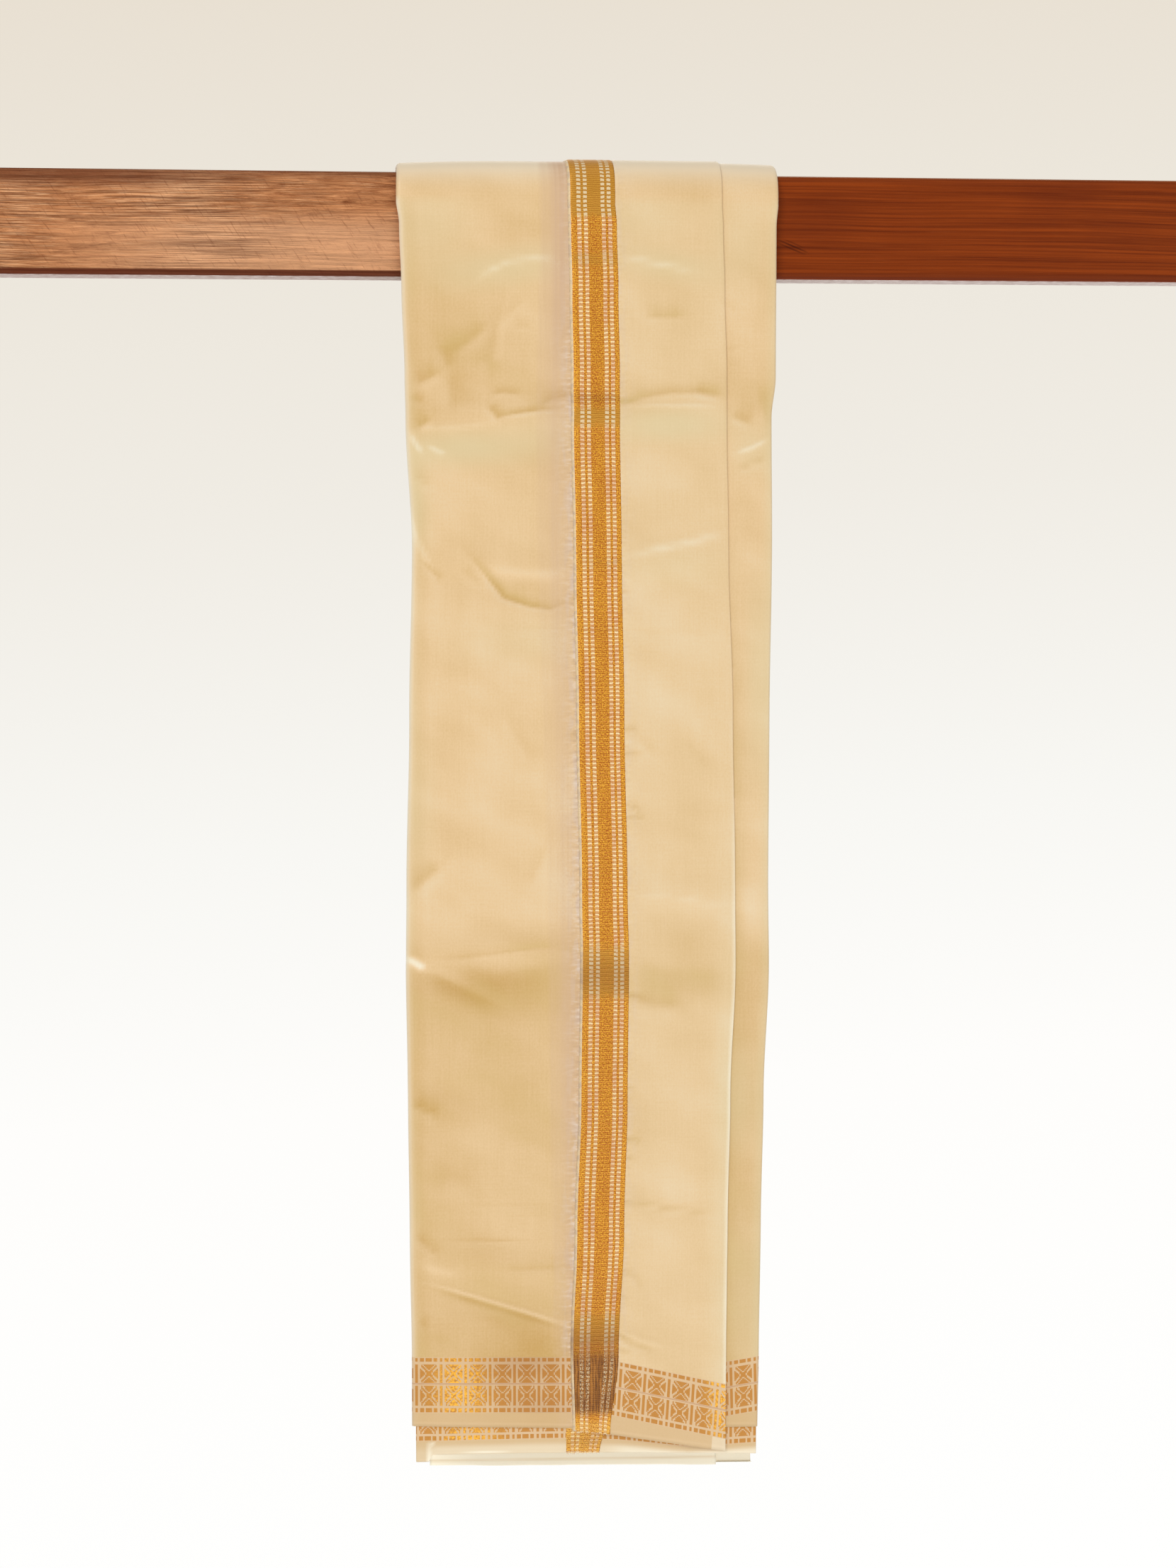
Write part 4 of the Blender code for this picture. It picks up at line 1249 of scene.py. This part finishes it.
def band_pattern(across, up):
    """The woven band's gold, 1 where it shows, and the lines between its rows of blocks."""
    place = across.wrapped(BAND_PERIOD)
    bar = place.between(*BAND_BAR)

    def block(low, high):
        half = (high - low) / 2
        a = ((place - BAND_BLOCK_X).size().snapped(THREAD_STEP)) / BAND_BLOCK_HALF
        b = ((up - (low + half)).size().snapped(THREAD_STEP)) / half
        inside = (a + b).below(1.62) * a.below(0.99) * b.below(0.99)
        cross = (a - b).size().between(0.16, 0.34)
        return (inside - cross).clamped().either(bar) * up.between(low, high)

    blocks = any_of(block(*heights) for heights in BAND_BLOCKS)
    dashes = any_of(place.between(*dash) for dash in BAND_DASHES)
    rows = any_of(up.between(*row) for row in BAND_DASH_ROWS)
    lines = any_of(up.between(*line) for line in BAND_LINES)
    return blocks.either(dashes * rows), lines


def silk_look(name, banded):
    """Cream silk: fine twill, soft streaks, painted shade and sheen, and the woven band where it has
    one.
    """
    look = Look(name, SILK)
    across, along = look.map("Weave")
    tone, pucker = look.mark("tone"), look.mark("pucker")
    streaks = look.noise(across * 2.2, along * 0.035, detail=3.0)
    slubs = look.noise(across * 0.03, along * 1.5, detail=3.0)
    clouds = look.noise(across * 0.022, along * 0.016)
    sheen = look.noise(across * 0.011 - along * 0.003, (along + across * 0.5) * 0.021)
    grain = look.noise(across * 0.8, along * 0.5, detail=1.0)
    strokes = look.noise(across * 0.75, along * 0.022)
    lines = look.noise(across * 0.5, along * 0.004)
    tucks = look.noise(across * 0.05, along * 0.30)
    sheen_spots = look.noise(across * 0.22, along * 0.05, detail=4.0)
    pleats = look.noise(across * 0.13, along * 0.42)
    twill = ((across + along) * (2 * pi / TWILL_PITCH)).math("SINE")

    fine = streaks.swing(0.7) + slubs.swing(0.8) + twill * 0.14
    fine = fine + grain.swing(1.3) + strokes.swing(0.7)
    shaded = tone * 0.7 + fine * 0.28 + (clouds.swing(1.1) + sheen.swing(1.9)) * 0.42
    look.tint((shaded * -1.0).clamped(), SILK_SHADE)
    # Painted shade: an olive cast in the shaded creases where the sheen noise is low
    look.tint(sheen.over(0.54, -3.4) * (tone * -1.5 - 0.25).clamped() * 0.5, SILK_OLIVE_SHADE)
    # The green mark: painted sheen, a greener cream where it follows the folds and the rims
    look.tint(look.mark("green").clamped() * 0.62, SILK_GREEN)
    # The pale mark: painted sheen on top of the bend and along the left fold's rim
    look.tint(look.mark("pale").clamped(), SILK_PALE_SHEEN)
    look.tint((look.mark("under") * (lines * 0.8 + 0.5)).clamped(), SILK_UNDER)
    look.tint(shaded.clamped() * 0.85, SILK_GLARE)
    # On the puckers at the border's seam: painted sheen in spots, then painted shade and painted
    # highlight on the pleats
    look.tint(sheen_spots.over(0.47, 8.0) * pucker * 0.75, PUCKER_SHEEN)
    look.tint(pleats.over(0.53, 9.0) * pucker * 0.5, PLEAT_SHADE)
    look.tint(pleats.over(0.47, -9.0) * pucker * 0.5, PLEAT_GLARE)
    relief = twill * 0.05 + streaks * 0.5 + slubs * 0.6 + tucks * pucker * 4.0

    if banded:
        chart_across, up = look.map("Chart")
        gold, lines = band_pattern(chart_across, up)
        in_band = up.between(BAND_FOOT, BAND_TOP)
        below = up.below(BAND_FOOT)
        corner = look.mark("corner") * chart_across.above(CORNER_START) * below
        sparkle = look.noise(across * 0.55, along * 0.55, detail=3.0)
        glinting = (look.mark("glint") * (sparkle * 7.0 - 2.7)).clamped()
        look.tint(in_band * 0.8, BAND_GROUND)
        look.tint(below * up.above(HEM_FOOT) * 0.7, HEM_GROUND)
        look.tint(gold * 0.94, look.mix(glinting, BRONZE, GLINT))
        look.tint(lines * 0.7, BAND_LINE)
        look.tint((tone * -0.5 - 0.42).clamped() * in_band, BAND_SHADE)
        # Painted light through the flap's thin corner below the band
        look.tint(corner * 0.34, PAINTED_LIGHT_CREAM)
        look.drive("Metallic", gold * 0.3)
        relief = relief + gold * 1.5
    # Painted light: near-white where thin silk is lit from behind, and glare lines at the other
    # end's hem
    look.tint(look.mark("sheer").clamped(), PAINTED_LIGHT_CREAM)
    look.set(roughness=0.44, sheen_weight=0.2, sheen_roughness=0.4)
    look.bump(relief, 0.00012, 0.55)
    return look.done()


def gold_look():
    """The border's gold: lengthwise stripes, rows of pale dashes and glittering ribs."""
    look = Look("gold_thread")
    across, along = look.map("Chart")
    flat_x, _ = look.map("Weave")
    foot, spark = look.mark("foot"), look.mark("spark")
    ragged = look.noise(flat_x * 0.3, along * 0.25, detail=3.0)
    wander = look.noise(flat_x * 0.35, along * 0.11)
    twist = look.noise(flat_x * 1.1, along * 0.9, roughness=0.7)
    specks = look.noise(flat_x * 2.1, along * 0.9, detail=1.0)
    patches = look.noise(flat_x * 0.12, along * 0.035)
    waves = look.noise(flat_x * 0.62, along * 0.05, distortion=0.5)
    stars = look.noise(flat_x * 2.4, along * 2.4, detail=1.0)
    smooth = (look.mark("smooth").swing(2.0) + ragged.swing(2.2) + 0.5).clamped()
    bent = along + wander.swing(1.6)
    ribs, rows = (bent.ripple(pitch, "COSINE") for pitch in (RIB_PITCH, DASH_PITCH))
    strands = (flat_x + waves * 5.0).ripple(STRAND_PITCH)
    white = any_of(across.between(*stripe) for stripe in PALE_STRIPES)
    in_dash = (bent / DASH_PITCH).wrapped(1.0)
    sides = (across - 0.5).size().above(0.41)
    selvedge = across.below(0.0)

    bright = ribs * 0.34 + 0.2 + twist.swing(3.8) + patches.swing(0.4) + sides * 0.12
    glittery = look.mix(bright.clamped(), GOLD_DEEP, GOLD_BRIGHT)
    glittery = look.mix(specks.over(0.62, 9.0) * 0.45, glittery, GOLD_SPECK)
    calm = look.mix((ribs * 0.7 + twist.swing(0.4)).clamped(), OCHRE_DEEP, OCHRE)
    look.paint = look.mix(smooth * 0.85, glittery, calm)
    lit = (rows * 0.9 + ribs * 0.5 - 0.2 + twist.swing(0.8)).clamped()
    lively = look.mix(lit, DASH_ORANGE, look.mix(patches.over(0.40, 6.0), DASH_PINK, DASH_CREAM))
    still = look.mix(in_dash.between(0.10, 0.72), OCHRE_DEEP, DASH_WHITE)
    look.tint(white * (foot * -0.75 + 0.9), look.mix(smooth, lively, still))

    thread = (strands * 1.2 + ribs * 0.5 - 0.35 + twist.swing(0.8)).clamped()
    dashes = white * in_dash.between(0.14, 0.86)
    gathered = look.mix(thread, FOOT_BROWN, FOOT_GOLD)
    gathered = look.mix(waves.over(0.52, 6.0) * 0.4, gathered, FOOT_SHADE)
    gathered = look.mix(dashes * twist.over(0.46, 12.0) * 0.8, gathered, DASH_WHITE)
    look.tint((foot * 0.92).clamped(), gathered)
    look.tint(spark * stars.over(0.54, 9.0), GOLD_STAR)
    look.tint(selvedge, SELVEDGE)
    look.tint(selvedge * ragged.over(0.45, 8.0) * 0.8, STITCH)
    look.tint((look.mark("tone") * -0.5).clamped(), GOLD_SHADE)
    metal = (white.either(selvedge) * -1.0 + 1.0) * (foot * -0.4 + 1.0)
    look.drive("Metallic", metal * 0.3)
    look.set(roughness=0.42, specular_ior_level=0.35)
    look.bump(twist * 0.5 + ribs * 0.6 + waves * foot * 3.0 + strands * foot, 0.00022, 0.8)
    return look.done()


def pack_look():
    """The stacked folds at the sides: plain cream silk with a fine lengthwise grain, and painted
    light at their foot.
    """
    look = Look("silk_folds", PACK_CREAM)
    x, y, z = look.place()
    streaks = look.noise(x * 900.0, y * 900.0, z * 30.0)
    slubs = look.noise(x * 30.0, y * 30.0, z * 600.0)
    look.tint((streaks.swing(0.7) + slubs.swing(0.5) + 0.12).clamped(), SILK_SHADE)
    # Painted light at the foot, in place of light through the thin layers
    look.tint(z.over(-0.90, -60.0) * 0.85, PAINTED_LIGHT_CREAM)
    look.set(roughness=0.46, sheen_weight=0.2, sheen_roughness=0.4)
    look.bump(streaks + slubs, 0.00015, 0.5)
    return look.done()


def wood_look():
    """The rail: coarse sawn grain at the left, pale there with painted sheen, dark polished grain at
    the right.
    """
    look = Look("rail_wood")
    x, y, z = look.place()
    side = x.over(-0.02, 12.0)
    bow = look.noise(x * 3.2, y * 6.0, z * 9.0)
    level_z = z + bow.swing(0.012)
    grain = look.noise(x * 30.0, y * 60.0, level_z * 380.0,
                       detail=7.0, roughness=0.75, distortion=1.1)
    fibres = look.noise(x * 40.0, y * 240.0, level_z * 1500.0, detail=4.0, roughness=0.7)
    long_grain = look.noise(x * 4.0, y * 40.0, level_z * 520.0, detail=4.0, roughness=0.6)
    saw = look.noise((x + z * 0.7) * 420.0, (z - x * 0.25) * 60.0, detail=3.0, roughness=0.7)
    cloud = look.noise(x * 9.0, y * 7.0, z * 20.0, detail=3.0)
    mottle = look.noise(x * 160.0, y * 160.0, detail=3.0)
    cracks = ((long_grain - 0.5).size() * -26.0 + 1.0).clamped()

    # The left half: rough sawn grain whose pale colour is partly painted sheen, with painted
    # highlights on its fibres
    look.paint = look.mix(grain.over(0.32, 3.0), SAWN_DEEP, SAWN_AND_SHEEN)
    look.tint((fibres.swing(4.4) + cloud.swing(2.8)).clamped() * 0.85, SAWN_FIBRE_SHEEN)
    look.tint(z.over(0.012, -60.0) * x.over(-0.4, 8.0) * 0.5, SAWN_LOW)
    look.tint(saw.over(0.57, 6.0) * 0.55, SAWN_MARK)
    look.tint(cracks * cloud.over(0.42, 5.0) * 0.8, SAWN_CRACK)
    sawn = look.paint

    look.paint = look.mix(long_grain.over(0.34, 2.8), POLISHED_DEEP, POLISHED)
    look.tint(fibres.over(0.52, 3.0) * 0.45, POLISHED_FIBRE)
    look.tint(cloud.over(0.55, 3.5) * 0.5, POLISHED_CLOUD)
    knot_x = x - KNOT[0]
    knot_z = z - KNOT[1] + knot_x * 0.37
    knot = (knot_x * knot_x * 6500.0 + knot_z * knot_z * 60000.0) * -1.0 + 1.0
    rings = (knot_z * 2600.0 + knot_x * 90.0).math("SINE") * 0.5 + 0.5
    look.tint(knot.clamped() * rings * 0.85, KNOT_RING)

    look.paint = look.mix(side, sawn, look.paint)
    top_dark = z.over(TOP_SHADE_Z, 110.0) * (side * -0.65 + 0.8)
    top_dark = top_dark * x.over(-0.21, -9.0).either(z.over(TOP_EDGE_Z, 160.0))
    look.tint(top_dark, RAIL_TOP_SHADE)
    look.tint(z.above(TOP_LINE_Z) * side * 0.7, RAIL_TOP_LINE)
    look.tint(z.over(FOOT_SHADE_Z, -900.0) * (side * -0.5 + 0.95), RAIL_FOOT_SHADE)
    underside = z.below(UNDERSIDE_Z) * x.size().below(SAWN_END_X)
    look.tint(underside * 0.95, look.mix(mottle.over(0.4, 3.0), RAIL_UNDER_DEEP, RAIL_UNDER))
    look.drive("Roughness", side * -0.12 + (fibres * 0.2 + 0.42))
    look.set(specular_ior_level=0.07)
    rough = (grain * 1.1 + fibres * 0.9 + saw) * (side * -0.85 + 1.0)
    look.bump(rough - cracks * (side * -1.0 + 1.0), 0.0009, 0.6)
    return look.done()


def thread_look():
    """Cut silk and gold threads at the ends of the borders."""
    look = Look("cut_thread", THREAD_CREAM)
    x, y, z = look.place()
    picks = look.noise(x * 2600.0, y * 2600.0, z * 300.0, detail=1.0)
    look.tint(picks.over(0.45, 6.0), THREAD_GOLD)
    look.set(roughness=0.5)
    look.bump(picks, 0.0001)
    return look.done()


# The room: a pale wall far behind and a pale floor, both glowing, with soft light from the front and
# above
# The wall's glow by height is a painted fall of light, brightest near the floor
WALL_TONES = (
    # height on the wall in metres, screen colour
    (-2.9, (255, 255, 254)),
    (-1.75, (254, 253, 251)),
    (-1.1, (248, 247, 243)),
    (-0.3, (240, 236, 228)),
    (0.4, (236, 230, 219)),
    (1.2, (231, 221, 206)),
)
WALL_Y = 6.0
FLOOR_Z = -3.0
ROOM_HALF = 9.0
WALL_HIGH = 6.0
SWEEP_RADIUS = 1.2
SWEEP_STEPS = 12
ROOM_COLOUR = (0.98, 0.96, 0.92, 1.0)
ROOM_STRENGTH = 0.48
SOFT_LIGHTS = (
    # name, place, target, size, power, colour
    ("key", (-1.9, -2.8, 1.5), (0.0, 0.0, -0.45), 1.6, 49.0, (1.0, 0.97, 0.92)),
    ("fill", (2.4, -3.0, -0.4), (0.0, 0.0, -0.5), 2.2, 21.0, (1.0, 0.98, 0.95)),
    ("above", (0.0, -0.4, 2.3), (0.0, 0.0, 0.0), 1.8, 9.0, (1.0, 0.99, 0.97)),
    ("behind", (0.6, 3.2, 1.2), (0.0, 0.0, -0.4), 2.0, 12.0, (1.0, 0.98, 0.95)),
    ("below", (0.1, -1.9, -2.4), (0.0, 0.0, -0.95), 1.6, 11.0, (1.0, 0.99, 0.97)),
)


def backdrop():
    """One glowing sweep, pale as paper: a floor that curves up into a wall."""
    profile = [(-ROOM_HALF, FLOOR_Z)]
    for step in range(SWEEP_STEPS + 1):
        turn = radians(90 * step / SWEEP_STEPS)
        profile.append((WALL_Y - SWEEP_RADIUS + SWEEP_RADIUS * sin(turn),
                        FLOOR_Z + SWEEP_RADIUS - SWEEP_RADIUS * cos(turn)))
    profile.append((WALL_Y, WALL_HIGH))
    verts = [(x, y, z) for y, z in profile for x in (-ROOM_HALF, ROOM_HALF)]
    faces = [(2 * i, 2 * i + 1, 2 * i + 3, 2 * i + 2) for i in range(len(profile) - 1)]
    made = add_mesh("backdrop", verts, faces)
    look = Look("glowing_backdrop")
    x, y, z = look.place()
    low, high = WALL_TONES[0][0], WALL_TONES[-1][0]
    ramp = look.node("ValToRGB")
    stops = ramp.color_ramp.elements
    while len(stops) < len(WALL_TONES):
        stops.new(0.5)
    for stop, (height, tone) in zip(stops, WALL_TONES):
        stop.position = (height - low) / (high - low)
        stop.color = (*linear(*tone), 1.0)
    share = (z + x * -0.06 - low) / (high - low)
    look.link(share.socket, ramp.inputs[0])
    look.link(ramp.outputs[0], look.shader.inputs["Emission Color"])
    look.set(emission_strength=1.0, base_color=(0.0, 0.0, 0.0, 1.0), roughness=1.0,
             specular_ior_level=0.0)
    made.data.materials.append(look.material)


def softbox(name, place, target, size, power, colour):
    """A square soft light that faces a target."""
    data = bpy.data.lights.new(name, "AREA")
    data.shape = "SQUARE"
    data.size = size
    data.energy = power
    data.color = colour
    made = add_object(name, data)
    made.location = place
    made.rotation_euler = (Vector(target) - Vector(place)).to_track_quat("-Z", "Y").to_euler()


def studio():
    """The backdrop, the world's pale fill and the soft lights."""
    backdrop()
    world = bpy.data.worlds.new("pale_room")
    world.use_nodes = True
    fill = world.node_tree.nodes["Background"]
    fill.inputs["Color"].default_value = ROOM_COLOUR
    fill.inputs["Strength"].default_value = ROOM_STRENGTH
    bpy.context.scene.world = world
    for light in SOFT_LIGHTS:
        softbox(*light)
    bpy.context.scene.view_settings.view_transform = "Standard"


CAMERA_PLACE = (-0.3586, -2.6, -0.1726)
CAMERA_YAW = 7.91
CAMERA_PITCH = -5.12
CAMERA_LENS = 81.6
CAMERA_SENSOR = 36.0
CAMERA_REACH = 60.0


def camera():
    """The camera at the photograph's viewing angle."""
    data = bpy.data.cameras.new("photo_view")
    data.lens = CAMERA_LENS
    data.sensor_width = CAMERA_SENSOR
    data.clip_end = CAMERA_REACH
    yaw, pitch = radians(CAMERA_YAW), radians(CAMERA_PITCH)
    forward = Vector((sin(yaw) * cos(pitch), cos(yaw) * cos(pitch), sin(pitch)))
    right = Vector((cos(yaw), -sin(yaw), 0.0))
    turned = Matrix((right, right.cross(forward), -forward)).transposed()
    made = add_object("photo_view", data)
    made.matrix_world = Matrix.Translation(CAMERA_PLACE) @ turned.to_4x4()
    bpy.context.scene.camera = made


def dress(piece, look, slot, *nodes):
    """Give a piece its material, let it ride on the body and stand for its solids."""
    piece.data.materials.append(look)
    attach(piece, "root")
    if nodes:
        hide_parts(*nodes)


def main():
    """Make every piece and dress it."""
    camera()
    studio()
    banded = silk_look("silk", True)
    plain = silk_look("silk_plain", False)
    gold = gold_look()

    panel = main_silk()
    dress(panel, banded, "silk", "main_panel")
    flap = flap_silk()
    dress(flap, banded, "silk", "flap")
    border = main_gold()
    dress(border, gold, "gold_thread", "selvedge_border")
    second = second_silk()
    dress(second, banded, "silk", "second_end", "second_flap")
    second_border = second_gold()
    dress(second_border, gold, "gold_thread", "second_border")
    loop = loop_silk()
    dress(loop, plain, "silk", "back_loop")
    pack = folded_pack()
    dress(pack, pack_look(), "silk", "inner_folds")
    threads = frayed_ends()
    dress(threads, thread_look(), "gold_thread")

    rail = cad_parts["rail"]
    wood = wood_look()
    for place in rail.material_slots:
        place.material = wood


main()
